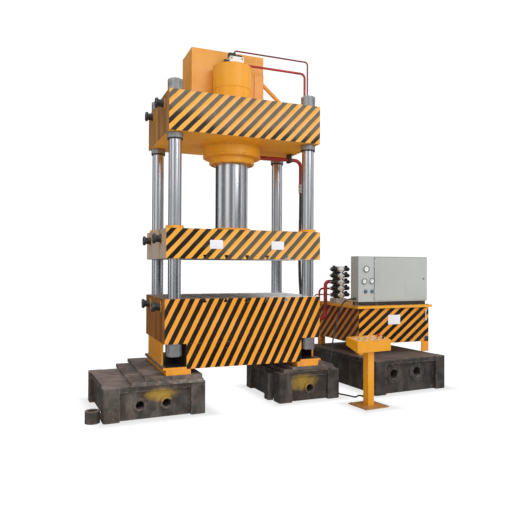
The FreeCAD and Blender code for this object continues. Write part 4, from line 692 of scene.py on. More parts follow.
plainOrange = enamel("orange_enamel", streaks=0.30)
trunnionSteel = machined("trunnion_steel", (0.085, 0.085, 0.095), False, stain=0.7, gloss=0.36)
finishes = {
    # crown and slide: a painted sheen across the front bands
    "crown": enamel("crown_paint", faces=bands["crown"], sideShadeAndSheen=sideShadeAndSheenOf("crown", (0.23, 0.105, 0.050), 0.90),
                    sheenAndFilm={"x": 0.06, "z": 1, "ragged": 0.16, "start": crownLow[2] + 0.02, "end": crownLow[2] + 0.24,
                          "amount": 0.75}),
    # the slide's sides: a pale painted reflection
    "slide": enamel("slide_paint", faces=bands["slide"], sideShadeAndSheen=sideShadeAndSheenOf("slide", (0.52, 0.44, 0.39), 0.95),
                    streaks=0.30, sheenAndFilm={"x": 1, "z": 0.8, "ragged": 0.7, "start": 0.75, "end": 1.95, "amount": 0.65},
                    bare=slideBare),
    "bed": enamel("bed_paint", "orangeWarm", bands["bed"], bare=bedBare,
                  sideShadeAndSheen=sideShadeAndSheenOf("bed", (0.22, 0.075, 0.020), 0.95)),
    "bed_base": enamel("base_paint", "orangeWarm",
                       [{**bands["bed"][0], "clear": basePlate["inner"], "top": basePlate["top"]}],
                       # the base plate is darker grey below its top edge, behind its front
                       dirt={"below": basePlate["top"], "front": baseLow[1], "tone": tones["lowBandGrey"]},
                       # painted shade: the recess between the inner and outer distance, behind the front, near black
                       hollow=(basePlate["inner"], basePlate["outer"], bedLow[1] + 0.002)),
    "unit_tank": enamel("tank_paint", "orangeWarm", bands["tank"], 0.4,
                        sideShadeAndSheen=sideShadeAndSheenOf("unit_tank", (0.24, 0.095, 0.070), 0.38)),
    "unit_lid": enamel("lid_paint", streaks=0.3),
    "top_tank": enamel("upper_tank_paint", "orangeDull", pale=0.50),
    "main_cylinder": enamel("cylinder_paint", streaks=0.25),
    "bed_feet": enamel("foot_paint", "orangeWarm", streaks=0.9, wear=1.0),
    "pedestal_stand": enamel("stand_paint", "yellow", streaks=0.3, wear=0.9,
                             dirt={"below": 0.0125, "tone": (0.42, 0.20, 0.06)}),
    "pedestal_box": enamel("pedestal_paint", "yellow", streaks=0.15),
    "columns": brightSteel("column_chrome", 1.0, 0.25),
    "ram": brightSteel("ram_chrome", 1.4, 0.20),
    "column_nuts": machined("nut_steel", (0.40, 0.41, 0.42), gloss=0.44,
                            grooves=[(crownLow[2] - 0.080, crownLow[2] - 0.064)]),
    "gland_bolts": machined("dark_bolts", (0.16, 0.16, 0.165), False),
    "ram_flange_bolts": machined("flange_bolts", (0.20, 0.20, 0.205), False),
    "hose_fittings": machined("fitting_zinc", (0.62, 0.62, 0.60), stain=0.2),
    "slide_bushes": moulded("bronze_bush", (0.42, 0.26, 0.10), 0.32, 1.3, 0.9),
    "guide_bush": moulded("bronze_guide", (0.40, 0.25, 0.10), 0.32, 1.3, 0.9),
    "piston": machined("piston_steel"),
    "piston_seals": moulded("seal_rubber", (0.03, 0.03, 0.03), 0.5),
    "motor_rotor": machined("rotor_steel", (0.40, 0.40, 0.41)),
    "prefill_valve": coated("valve_white", (0.86, 0.86, 0.84), 0.85, 150, 0.35),
    "valve_manifold": stackPaint("stack_white"),
    "solenoid_valves": moulded("solenoid_black", (0.018, 0.018, 0.022), 0.34),
    "pilot_pipe": pipePaint("maroon_paint", (0.24, 0.012, 0.012), (0.13, 0.008, 0.010)),
    "pressure_pipe": pipePaint("red_paint", (0.52, 0.022, 0.020), (0.30, 0.014, 0.016)),
    "return_pipes": pipePaint("return_red", (0.46, 0.030, 0.030), (0.28, 0.018, 0.022)),
    "pipe_clamps": moulded("clamp_black", (0.035, 0.033, 0.032), 0.45),
    "level_gauge": coated("gauge_cream", (0.70, 0.69, 0.60), 0.8, 150, 0.3),
    "breather_cap": machined("breather_chrome", (0.60, 0.60, 0.61), stain=0.1),
    "motor_body": coated("motor_grey", (0.13, 0.17, 0.18), 0.8, 180, 0.4, 0.5),
    "bell_housing": coated("bell_grey", (0.22, 0.23, 0.24), 0.8, 120, 0.45, 0.5),
    "pump_body": coated("pump_black", (0.045, 0.047, 0.05), 1.4, 120, 0.4, 0.3),
    "cabinet_shell": coated("cabinet_grey", (0.475, 0.495, 0.475), 0.92),
    "cabinet_door": coated("door_grey", (0.445, 0.465, 0.440), 0.92),
    "door_lock": machined("lock_zinc", (0.58, 0.58, 0.56), False, stain=0.1),
    "cabinet_meters": moulded("meter_case", (0.72, 0.73, 0.74), 0.3, 0.85),
    "control_gear": zoned("gear_shells", [(0, (0.62, 0.62, 0.58)), (2.3, (0.50, 0.51, 0.50))], 0.4),
    "cabinet_button_left": moulded("button_blue_left", (0.075, 0.115, 0.17)),
    "cabinet_button_right": moulded("button_blue_right", (0.080, 0.120, 0.175)),
    "packing_plates": millScale("packing_scale"),
    "selector_knob": moulded("selector_black", (0.02, 0.02, 0.022)),
    "stop_button": moulded("stop_red", (0.55, 0.012, 0.012), 0.22, 1.15),
    "push_button_1": moulded("button_green", (0.02, 0.30, 0.07), 0.22, 1.2),
    "push_button_2": moulded("button_red", (0.50, 0.02, 0.015), 0.22, 1.2),
    "push_button_3": moulded("button_yellow", (0.75, 0.50, 0.03), 0.22, 1.15),
    "push_button_4": moulded("button_dark", (0.03, 0.03, 0.035), 0.22),
    "panel_lamps": zoned("lamp_lenses", [(0, (0.55, 0.03, 0.02)), (1.28, (0.05, 0.42, 0.10)),
                                         (1.37, (0.80, 0.55, 0.05)), (1.46, (0.75, 0.75, 0.72))]),
    "cable_glands": moulded("gland_black", (0.03, 0.03, 0.03), 0.4),
    "support_block_left": castIron("block_rust", 1.0, 0.9, [(-1.00, 0.250, 0.16, 0.075, -0.50)], 0.7),
    "support_block_right": castIron("block_dark", 0.62, 0.5, [(0.79, 0.235, 0.19, 0.100, -0.38)], 0.5),
    "support_block_unit": castIron("block_unit", 0.50, 0.40, [], 1.0),
    **dict.fromkeys(("frame_lifting_loops", "slide_lifting_loops"), trunnionSteel),
    **dict.fromkeys(("gland_ring", "cylinder_lock_nut", "ram_flange", "slide_wipers"), plainOrange),
}
for node, material in finishes.items():
    nodes[node].data.materials.clear()
    nodes[node].data.materials.append(material)
print("finishes made:", len(finishes))

# cords: each route is straight out of a fitting or gland at both ends
hose = {"diameter": 0.040, "length": 2.07, "route": [
    (1.025, 0.100, 2.661), (1.025, 0.100, 2.431), (1.015, 0.100, 2.050), (1.013, 0.103, 1.700), (1.030, 0.112, 1.360),
    (1.075, 0.136, 1.085), (1.240829, 0.267403, 0.900), (1.412733, 0.420207, 0.900)]}
cable = {"diameter": 0.020, "length": 2.08, "boot": 0.045, "bootRadius": (0.0155, 0.0115), "bootRibs": 5,
         "bootRib": 0.0012, "bootPoints": 41, "route": [
    (1.407638, -0.888438, 0.090), (1.396662, -0.784013, 0.090), (1.425, -0.680, 0.036), (1.462, -0.570, 0.011),
    (1.422, -0.450, 0.0105), (1.355, -0.340, 0.012), (1.326, -0.250, 0.062), (1.322, -0.212, 0.185),
    (1.335, -0.180, 0.400), (1.384, -0.136, 0.610), (1.450, -0.092, 0.800), (1.512, -0.055, 0.960),
    (1.572, -0.020, 1.090), (1.645, 0.012, 1.172), (1.723, 0.030, 1.215), (1.815, 0.030, 1.215)]}


def cordCurve(name, cord, material):
    # a smooth second-degree curve drawn to its end points, with a round section; the bare line is returned too
    data = bpy.data.curves.new(name, "CURVE")
    data.dimensions = "3D"
    data.resolution_u = 16
    spline = data.splines.new("NURBS")
    spline.points.add(len(cord["route"]) - 1)
    spline.points.foreach_set("co", [part for point in cord["route"] for part in (*point, 1)])
    spline.order_u = 3
    spline.use_endpoint_u = True
    piece = addObject(name, data)
    bare = bpy.data.meshes.new_from_object(piece)  # the line itself, before it has a thickness
    line = np.array([vertex.co for vertex in bare.vertices])
    bpy.data.meshes.remove(bare)
    data.bevel_depth = cord["diameter"] / 2
    data.bevel_resolution = 5
    data.use_fill_caps = True
    data.materials.append(material)
    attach(piece, "frame_body")
    return piece, line


def endBoot(line):
    # a ribbed sleeve on a cord's first stretch: radius falling steadily, plus the cosine's upper half at each rib
    start, end = cable["bootRadius"]
    at, path = alongPath(line, lambda length: np.linspace(0, cable["boot"], cable["bootPoints"]))
    share = at / cable["boot"]
    ribs = np.clip(np.cos(share * cable["bootRibs"] * tau), 0, 1)
    radius = start + (end - start) * share + cable["bootRib"] * ribs
    return tubeForm(path, radius, 20)


hoseRubber = cordSkin("hose_rubber", (0.022, 0.022, 0.024), 900)
hosePiece = cordCurve("pressure_hose", hose, hoseRubber)[0]
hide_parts("return_hose")
cableSheath = cordSkin("cable_sheath", (0.018, 0.018, 0.019), 1400)
cablePiece, cableLine = cordCurve("pedestal_cable", cable, cableSheath)
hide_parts("control_cable")
boots = makePiece("cable_boots", [endBoot(cableLine), endBoot(cableLine[::-1])],
                  moulded("boot_rubber", (0.02, 0.02, 0.02), 0.45), "cable_glands")
print("cords laid")

# round lifting trunnions: radius and height from the beam's side, then each beam's side face and their height on it
trunnion = {"profile": [(0.0, 0.0), (0.056, 0.0), (0.056, 0.010), (0.046, 0.014), (0.041, 0.022), (0.041, 0.066),
                        (0.046, 0.070), (0.055, 0.071), (0.058, 0.075), (0.058, 0.093), (0.054, 0.098), (0.024, 0.098),
                        (0.021, 0.092), (0.0, 0.092)],
            "weld": 0.059, "bead": 0.006, "pitch": 0.011, "rows": (-0.330, 0.300),
            "crown": (crownLow[0], crownHigh[2] - 0.098), "bed": (-0.968, bedHigh[2] - 0.100),
            "slide": (slideLow[0], slideHigh[2] - 0.112)}
frontAxes = [(1, 0, 0), (0, 0, 1), (0, -1, 0)]


def trunnionWelds(beam):
    # a closed bead round each trunnion's foot
    face, middle = trunnion[beam]
    return [beadForm(circlePath((face - 0.001, y, middle), trunnion["weld"], (1, 0, 0)), trunnion["bead"],
                     trunnion["pitch"], True, (1, 0, 0)) for y in trunnion["rows"]]


def trunnionPair(beam):
    # the profile turned about a line square to the beam's side
    face, middle = trunnion[beam]
    knob = turnedForm(trunnion["profile"], 40)
    return spread([knob], [(face, y, middle) for y in trunnion["rows"]], axesFor((-1, 0, 0)))


frameTrunnions = makePiece("frame_trunnions", trunnionPair("crown") + trunnionPair("bed"), trunnionSteel,
                           "frame_lifting_loops")
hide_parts("frame_lifting_loops")
slideTrunnions = makePiece("slide_trunnions", trunnionPair("slide"), trunnionSteel, "slide_lifting_loops", "slide_body")
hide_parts("slide_lifting_loops")

# raised rings round the cylinder's shoulder, and the welds of cylinder and upper tank
shoulder = {"reach": 0.006, "sunk": 0.002, "tall": 0.016, "edge": 0.004, "lifts": (0.008, 0.112)}
weld = {"cylinder": 0.2455, "cylinderBead": 0.0035, "pitch": 0.014, "tankX": 0.49, "tankY": (0.155, 0.628),
        "tankBead": 0.006}
cylinderLow, cylinderHigh = boxes["main_cylinder"]
shoulderRing = ringForm(cylinderHigh[0] + shoulder["reach"], cylinderHigh[0] - shoulder["sunk"], shoulder["tall"],
                        shoulder["edge"], 96)
makePiece("shoulder_rings", spread([shoulderRing], [(0, 0, cylinderLow[2] + lift) for lift in shoulder["lifts"]]),
          finishes["main_cylinder"], "main_cylinder")
weldPaint = enamel("weld_paint", streaks=0.5)
cylinderMid = (boxes["top_tank"][0][2] + cylinderHigh[2]) / 2 - 0.02
cylinderWeld = beadForm(circlePath((0, 0, cylinderMid), weld["cylinder"], (0, 0, 1), 90), weld["cylinderBead"],
                        weld["pitch"], True)
tankWelds = [beadForm([(x, y, crownHigh[2]) for y in weld["tankY"]], weld["tankBead"])
             for x in (-weld["tankX"], weld["tankX"])]
makePiece("frame_welds", trunnionWelds("crown") + trunnionWelds("bed") + [cylinderWeld] + tankWelds, weldPaint, "crown")
makePiece("slide_welds", trunnionWelds("slide"), weldPaint, "slide", "slide_body")

# blank plates: x, z, width and height of each, and a screw near each corner
plate = {"tone": (0.78, 0.79, 0.84), "thick": 0.003, "screw": 0.006, "screwInset": 0.011,
         "slide": [(-0.377, 1.911, 0.156, 0.100), (0.388, 1.911, 0.164, 0.098)], "tank": [(2.410, 0.918, 0.203, 0.133)]}


def labelPlates(specs, face):
    # a thin rounded sheet standing on the front with a low screw near each corner
    forms = []
    for x, z, width, height in specs:
        sheet = blockForm((width, height, plate["thick"]), 0.006, 0.0008)
        screw = turnedForm([(0, 0), (plate["screw"], 0), (plate["screw"] * 0.7, 0.0018), (0, 0.0024)], 14)
        inset = plate["screwInset"]
        spots = [(x + sx * (width / 2 - inset), face - plate["thick"], z + sz * (height / 2 - inset))
                 for sx, sz in cornerSigns]
        forms += [placed(sheet, (x, face, z), frontAxes)] + spread([screw], spots, frontAxes)
    return forms


blankPlate = coated("plate_white", plate["tone"], 0.93, 300, 0.25, 0.25)
makePiece("slide_plates", labelPlates(plate["slide"], slideLow[1]), blankPlate, "slide", "slide_body")
makePiece("tank_plate", labelPlates(plate["tank"], tankLow[1]), blankPlate, "unit_tank")

screwSteel = machined("screw_steel", (0.33, 0.33, 0.34), False, stain=0.4)
columnSpots = list(product((-0.840, 0.840), (-0.480, 0.480)))
wiper = {"circle": 0.089, "count": 8, "screw": 0.010, "head": 0.006, "top": 0.030}
wiperTurns = (np.arange(wiper["count"]) + 0.5) * tau / wiper["count"]
wiperSpots = [spot for x, y in columnSpots
              for spot in circleSpots(x, y, slideHigh[2] + wiper["top"], wiper["circle"], wiperTurns)]
wiperScrew = boltForm(wiper["screw"], wiper["head"], False)
makePiece("wiper_screws", spread(wiperScrew, wiperSpots), screwSteel, "slide_wipers", "slide_body")

# column ends: a turned-off chamfer with a centre drilling, then nut washers as height and thickness
columnEnd = [(0, 0), (0.004, 0.0), (0.010, 0.006), (0.066, 0.006), (0.0735, 0.0), (0.0735, -0.002), (0, -0.002)]
nutWasher = {"outer": 0.0925, "inner": 0.0880, "edge": 0.0012,
             "levels": [(crownHigh[2] + 0.002, 0.008), (crownLow[2] - 0.012, 0.010), (bedHigh[2] - 0.512, 0.006)]}
flangeCap = [(0.2060, 0.0), (0.2455, 0.0), (0.2455, 0.0120), (0.2400, 0.0172), (0.2100, 0.0172), (0.2060, 0.0140),
             (0.2060, 0.0)]
makePiece("column_ends", spread([turnedForm(columnEnd, 40)], [(x, y, boxes["columns"][1][2]) for x, y in columnSpots]),
          machined("column_end_steel", (0.40, 0.41, 0.42), gloss=0.44), "columns")
flangeTop = (0, 0, boxes["ram_flange"][1][2])
makePiece("flange_cap", [placed(turnedForm(flangeCap, 72), flangeTop)], plainOrange, "ram_flange", "slide_body")
nutRings = [placed(ringForm(nutWasher["outer"], nutWasher["inner"], height, nutWasher["edge"], 40), (x, y, z))
            for x, y in columnSpots for z, height in nutWasher["levels"]]
makePiece("nut_washers", nutRings, machined("washer_steel", (0.30, 0.30, 0.31)), "column_nuts")

# bolts of the pipe brace's pad on the crown and of the valve on the cylinder's top
brace = {"place": (0.740, -0.170, crownHigh[2] + 0.012), "half": 0.036, "bolt": (0.016, 0.010)}
valve = {"x": 0.040, "half": 0.070, "front": -0.080, "lifts": (0.020, 0.110), "bolt": (0.018, 0.012)}
padSpots = [np.array(brace["place"]) + (sx * brace["half"], sy * brace["half"], 0) for sx, sy in cornerSigns]
valveSpots = [(valve["x"] + side * valve["half"], valve["front"], boxes["prefill_valve"][0][2] + lift)
              for side in (-1, 1) for lift in valve["lifts"]]
pressBolts = spread(boltForm(*brace["bolt"]), padSpots) + spread(boltForm(*valve["bolt"]), valveSpots, frontAxes)
makePiece("press_bolts", pressBolts, screwSteel, "prefill_valve")

# hose ferrules: the upper one under its hexagon, the lower one along its own way from the pipe's end
ferrule = {"radius": 0.0285, "ridge": 0.0016, "length": 0.062, "ridges": 5, "inner": 0.0205, "hexagon": 0.036,
           "upper": (1.025, 0.100, 2.664), "upperHexagon": (1.025, 0.100, 2.735), "upperTall": 0.030,
           "lower": (1.480, 0.480, 0.900), "lowerWay": (-0.7474, -0.6644, 0.0), "lowerOut": 0.088, "lowerTall": 0.024}


def ferruleForm():
    # radius = plain radius + ridge cos(turns of height), closed by drawing both ends in
    height = np.linspace(0, ferrule["length"], 41)
    radius = ferrule["radius"] + ferrule["ridge"] * np.cos(height / ferrule["length"] * ferrule["ridges"] * tau)
    return turnedForm([(ferrule["inner"], 0)] + list(zip(radius, height)) + [(ferrule["inner"], ferrule["length"])], 32)


lowerFoot = np.array(ferrule["lower"])
lowerWay = np.array(ferrule["lowerWay"])
makePiece("hose_ferrules", [
    placed(ferruleForm(), ferrule["upper"]),
    placed(hexForm(ferrule["hexagon"], ferrule["upperTall"]), ferrule["upperHexagon"]),
    placed(ferruleForm(), lowerFoot + lowerWay * ferrule["lowerOut"], axesFor(-lowerWay)),
    placed(hexForm(ferrule["hexagon"], ferrule["lowerTall"]), lowerFoot + lowerWay * 0.002, axesFor(lowerWay))],
    machined("ferrule_zinc", (0.66, 0.66, 0.63), stain=0.15), "hose_fittings")
print("press fittings made")

# pedestal: the panel leans back by the tilt and the whole stand is turned; columns and rows are counted from its middle
panel = {"base": (1.416, -0.968), "turn": math.radians(6), "tilt": math.atan2(34, 216), "middle": 0.805,
         "pitch": 0.092, "row": 0.044}
turnAxes = np.array([(math.cos(panel["turn"]), math.sin(panel["turn"]), 0),
                     (-math.sin(panel["turn"]), math.cos(panel["turn"]), 0), (0, 0, 1)])
lean = np.array([(1, 0, 0), (0, math.cos(panel["tilt"]), math.sin(panel["tilt"])),
                 (0, -math.sin(panel["tilt"]), math.cos(panel["tilt"]))])
panelAxes = lean @ turnAxes
bezel = {"outer": 0.0175, "inner": 0.01125, "height": 0.0055, "lift": 0.0002}
tag = {"size": (0.046, 0.014, 0.0016), "drop": -0.029}
lens = {"radius": 0.0098, "rise": 0.0045, "lift": 0.0091}
control = {"cap": [(0, 0), (0.0102, 0), (0.0102, 0.0012), (0.0088, 0.0024), (0.0070, 0.0018), (0, 0.0012)],
           "capLift": 0.0090, "lever": (0.0075, 0.030, 0.010), "leverLift": 0.0215, "stopLift": 0.0225,
           "stop": [(0, 0.0), (0.0196, 0.0), (0.0205, 0.0020), (0.0185, 0.0055), (0.0120, 0.0078), (0, 0.0085)]}


def panelSpot(column, row, lift=0.0):
    # the panel's middle + column, row and lift along the panel's own axes
    middle = np.array((*panel["base"], panel["middle"]))
    return middle + np.array((column * panel["pitch"], row * panel["row"], lift)) @ panelAxes


def standSpot(x, y, z):
    # the stand's foot + x, y and z along the stand's turned axes
    return np.array((*panel["base"], 0.0)) + np.array((x, y, z)) @ turnAxes


places = list(product(range(-2, 3), (-1, 1)))
bezelForm = turnedForm([(bezel["inner"], 0), (bezel["outer"], 0), (bezel["outer"], bezel["height"] * 0.5),
                        (bezel["outer"] - 0.003, bezel["height"]), (bezel["inner"] + 0.0008, bezel["height"]),
                        (bezel["inner"], bezel["height"] * 0.8), (bezel["inner"], 0)], 28)
bezelSpots = [panelSpot(column, row, bezel["lift"]) for column, row in places if column < 2]
makePiece("panel_bezels", spread([bezelForm], bezelSpots, panelAxes),
          machined("bezel_chrome", (0.72, 0.72, 0.72), stain=0.05), "pedestal_box")
tagSpots = [panelSpot(column, row, bezel["lift"]) + np.array((0, tag["drop"], 0)) @ panelAxes for column, row in places]
makePiece("panel_tags", spread([blockForm(tag["size"], 0.002, 0.0005)], tagSpots, panelAxes),
          coated("tag_silver", (0.62, 0.63, 0.64), 0.9, 300, 0.3), "pedestal_box")
quarter = np.linspace(0, tau / 4, 7)
lensDome = turnedForm(list(zip(lens["radius"] * np.cos(quarter), lens["rise"] * np.sin(quarter))) +
                      [(0, -0.0005), (lens["radius"], -0.0005), (lens["radius"], 0)], 24)
makePiece("lamp_domes", spread([lensDome], [panelSpot(index - 2, 1, lens["lift"]) for index in range(4)], panelAxes),
          finishes["panel_lamps"], "panel_lamps")
for index in range(4):
    name = f"push_button_{index + 1}"
    cap = placed(turnedForm(control["cap"], 24), panelSpot(index - 2, -1, control["capLift"]), panelAxes)
    makePiece(name + "_cap", [cap], finishes[name], name, name + "_body")
lever = placed(blockForm(control["lever"], 0.003, 0.0015), panelSpot(2, -1, control["leverLift"]), panelAxes)
makePiece("selector_lever", [lever], moulded("lever_black", (0.03, 0.03, 0.03), 0.25), "selector_knob", "selector_body")
stopCap = placed(turnedForm(control["stop"], 36), panelSpot(2, 1, control["stopLift"]), panelAxes)
makePiece("stop_cap", [stopCap], finishes["stop_button"], "stop_button", "stop_body")

gusset = {"post": 0.045, "reach": 0.070, "top": 0.682, "drop": 0.072, "sag": 0.012, "half": 0.004}
foot = {"post": 0.0465, "weldLift": 0.0135, "bead": 0.004, "pitch": 0.010, "anchor": 0.1425, "lift": 0.012,
        "bolt": (0.018, 0.010)}


def gussetForm(side):
    # a triangular plate: the post's face, the box's underside and a long edge hollowed by a half sine
    share = np.linspace(0, 1, 9)
    sag = gusset["sag"] * np.sin(share * tau / 2)
    edge = np.stack([gusset["post"] + gusset["reach"] * (1 - share) - sag,
                     gusset["top"] - gusset["drop"] * share + sag * 0.6], -1)
    outline = np.concatenate([[(gusset["post"], gusset["top"])], edge])
    flat = np.stack([side * outline[:, 0], np.zeros(len(outline)), outline[:, 1]], -1)
    rows = np.stack([flat + (0, -gusset["half"], 0), flat + (0, gusset["half"], 0)])
    return placed(gridForm(rows, capLow=True, capHigh=True), standSpot(0, 0, 0), turnAxes)


postLine = [standSpot(foot["post"] * sx, foot["post"] * sy, foot["weldLift"])
            for sx, sy in ((-1, -1), (1, -1), (1, 1), (-1, 1), (-1, -1))]
makePiece("stand_gussets", [gussetForm(-1), gussetForm(1), beadForm(postLine, foot["bead"], foot["pitch"])],
          finishes["pedestal_stand"], "pedestal_stand")
anchorSpots = [standSpot(foot["anchor"] * sx, foot["anchor"] * sy, foot["lift"]) for sx, sy in cornerSigns]
makePiece("anchor_bolts", spread(boltForm(*foot["bolt"]), anchorSpots, turnAxes), screwSteel, "pedestal_stand")
print("pedestal dressed")

# cabinet front: each meter as x, z and radius; the needle points up to the left
meter = {"spots": [(1.972, 1.633, 0.045), (1.940, 1.461, 0.040), (2.063, 1.466, 0.040)], "front": -0.061, "rim": 0.006,
         "needle": 0.9, "spokes": 40}
needleAxes = [(math.cos(meter["needle"]), 0, math.sin(meter["needle"])),
              (-math.sin(meter["needle"]), 0, math.cos(meter["needle"])), (0, -1, 0)]
meterRims = []
needles = []
for x, z, radius in meter["spots"]:
    inner, outer = radius - meter["rim"], radius + 0.0005
    rim = turnedForm([(inner, 0), (outer, 0), (outer, 0.003), (radius - 0.002, 0.0055), (inner, 0.004), (inner, 0)], 48)
    meterRims.append(placed(rim, (x, meter["front"], z), frontAxes))
    needles.append(placed(blockForm((0.0022, radius * 0.72, 0.0010), 0.0008, 0.0003),
                          (x - radius * 0.20, meter["front"] - 0.0018, z + radius * 0.15), needleAxes))
    needles.append(placed(turnedForm([(0, 0), (0.004, 0), (0.0035, 0.0026), (0, 0.003)], 16),
                          (x, meter["front"] - 0.001, z), frontAxes))
makePiece("meter_rims", meterRims, moulded("rim_black", (0.04, 0.042, 0.05), 0.25), "cabinet_meters")
makePiece("meter_needles", needles, moulded("needle_black", (0.015, 0.015, 0.015), 0.3), "cabinet_meters")


def dialDiscs():
    # flat discs: middle + reach (cos angle, sin angle) over three rings, each with a map whose middle is (0.5, 0.5)
    angle = np.arange(meter["spokes"]) * tau / meter["spokes"]
    unit = np.array([0.0, 0.5, 1.0])[:, None, None] * np.stack([np.cos(angle), np.sin(angle)], -1)
    forms = []
    for x, z, radius in meter["spots"]:
        flat = (radius - meter["rim"]) * unit
        depth = np.full(flat.shape[:2], meter["front"] - 0.0008)
        forms.append(gridForm(np.stack([x + flat[..., 0], depth, z + flat[..., 1]], -1)))
    mesh = meshFrom("meter_dials", forms)
    layer = mesh.uv_layers.new(name="dial")
    corners = np.zeros(len(mesh.loops), np.int32)
    mesh.loops.foreach_get("vertex_index", corners)
    spots = np.tile(0.5 + 0.5 * unit.reshape(-1, 2), (len(forms), 1))
    layer.data.foreach_set("uv", spots[corners].ravel().astype(np.float32))
    mendMesh(mesh, Vector((0, -1, 0)))
    addPiece("meter_dials", mesh, dialPaint("dial_card"), "cabinet_meters")


dialDiscs()
cabinet = {"front": -0.045, "buttons": ((1.965, 1.320), (2.071, 1.321)), "ring": (0.0285, 0.0238, 0.005, 0.001),
           "seam": (0.0035, 0.600, 0.0012), "seamAt": (2.103, -0.045, 1.494),
           "keyway": (0.0022, 0.011, 0.0012), "keywayAt": (2.955, -0.0523, 1.4935),
           "rail": (1.120, 0.030, 0.050), "railX": 2.435, "railY": (-0.020, 0.128), "railZ": 1.1225,
           "cross": (0.040, 0.120, 0.046), "crossX": (1.93, 2.20, 2.67, 2.94), "crossY": 0.054, "crossZ": 1.1235}
ringSpots = [(x, cabinet["front"], z) for x, z in cabinet["buttons"]]
makePiece("button_rings", spread([ringForm(*cabinet["ring"], 40)], ringSpots, frontAxes),
          machined("ring_silver", (0.64, 0.65, 0.68), False, stain=0.05), "cabinet_shell")
makePiece("strip_seam", [placed(blockForm(cabinet["seam"], 0.001, 0.0004), cabinet["seamAt"], frontAxes)],
          moulded("seam_dark", (0.20, 0.21, 0.20), 0.5), "cabinet_shell")
# painted shade: near-black rails and cross bars fill the gap under the cabinet, standing for the shadow there
shadowRails = spread([blockForm(cabinet["rail"])], [(cabinet["railX"], y, cabinet["railZ"]) for y in cabinet["railY"]])
shadowRails += spread([blockForm(cabinet["cross"])], [(x, cabinet["crossY"], cabinet["crossZ"]) for x in cabinet["crossX"]])
makePiece("cabinet_shadow_rails", shadowRails, moulded("shadow_rail_black", (0.022, 0.022, 0.024), 0.5), "cabinet_shell")
makePiece("lock_keyway", [placed(blockForm(cabinet["keyway"], 0.0006, 0.0003), cabinet["keywayAt"], frontAxes)],
          moulded("keyway_black", (0.01, 0.01, 0.01), 0.5), "door_lock", "lock_body")
print("cabinet dressed")

plugs = []
coilNuts = []
stackCaps = []
coilRibs = [(stack["coil"] + stack["rib"] * (k % 2), 0.006 + 0.006 * k) for k in range(stack["ribs"])]
coilForm = turnedForm([(0.0, 0.0), *coilRibs, (0.0, stack["coilLength"])], 28)
tailForm = turnedForm(stack["tail"], 18)
for level in range(stack["levels"]):
    z = stack["low"] + level * stack["pitch"] + stack["middle"]
    for side in (-1, 1):
        outwards = axesFor((side, 0, 0))
        coilAt, nutAt, tailAt = ((stack["x"] + side * stack[key], stack["coilY"], z)
                                 for key in ("coilStart", "nutAt", "tailAt"))
        plugAt = (stack["x"] + side * stack["plugAt"], stack["coilY"] - 0.004, z + stack["coil"] - 0.003)
        plugs += [placed(blockForm(stack["plug"], 0.005, 0.003), plugAt), placed(coilForm, coilAt, outwards)]
        coilNuts += [placed(hexForm(*stack["nut"]), nutAt, outwards), placed(tailForm, tailAt, outwards)]
    z -= stack["coverDrop"]
    stackCaps.append(placed(turnedForm(stack["cover"], 4), (stack["x"], stack["face"], z), frontAxes))
    screws = [(stack["x"] + side * stack["screwAt"], stack["face"] - stack["screwFace"], z) for side in (-1, 1)]
    coilNuts += spread(boltForm(0.012, 0.007, False), screws, frontAxes)
makePiece("coil_plugs", plugs, moulded("plug_black", (0.016, 0.016, 0.020), 0.32), "solenoid_valves")
makePiece("coil_nuts", coilNuts, machined("coil_zinc", (0.58, 0.58, 0.56), False, stain=0.1), "solenoid_valves")
makePiece("stack_covers", stackCaps, coated("cover_white", (0.90, 0.90, 0.88), 0.88, 200, 0.3, 0.2), "valve_manifold")

# motor: its axis runs along x; the feet are where the hold-down bolts stand
motor = {"axisY": 0.620, "axisZ": 1.320, "start": 2.530, "length": 0.330, "radius": 0.1505,
         "fin": 0.016, "fins": 36, "pointsPerFin": 6,
         "cowlX": 2.862, "feetX": (0.05, 0.26), "feetY": 0.120, "feetLift": 0.0895,
         "cowl": [(0.1502, 0.0), (0.158, 0.002), (0.158, 0.060), (0.150, 0.074), (0.120, 0.080), (0.118, 0.076),
                  (0.095, 0.082), (0.093, 0.078), (0.070, 0.083), (0.068, 0.079), (0.045, 0.084), (0, 0.084)]}


def finShell():
    # radius = housing + fin height times a squared-off cosine of the angle, drawn in to the housing at both ends
    count = motor["fins"] * motor["pointsPerFin"]
    angle = np.arange(count) * tau / count
    tooth = np.clip(np.cos(angle * motor["fins"]) * 3, 0, 1)
    share = np.array([0.0, 0.02, 0.98, 1.0])[:, None]
    height = np.array([0.0, 1.0, 1.0, 0.0])[:, None]
    clear = 1 - np.clip(np.cos(angle - tau / 4) * 8 - 6.4, 0, 1)  # flat under the terminal box
    radius = motor["radius"] + motor["fin"] * tooth * height * clear
    along = np.broadcast_to(motor["start"] + motor["length"] * share, radius.shape)
    return gridForm(np.stack([along, motor["axisY"] + radius * np.cos(angle),
                              motor["axisZ"] + radius * np.sin(angle)], -1))


motorPaint = coated("motor_paint", (0.13, 0.17, 0.18), 0.8, 180, 0.4, 0.5)
makePiece("motor_fins", [finShell()], motorPaint, "motor_body", sharp=25)
cowlPlace = (motor["cowlX"], motor["axisY"], motor["axisZ"])
makePiece("fan_cowl", [placed(turnedForm(motor["cowl"], 48), cowlPlace, axesFor((1, 0, 0)))], motorPaint, "motor_body")

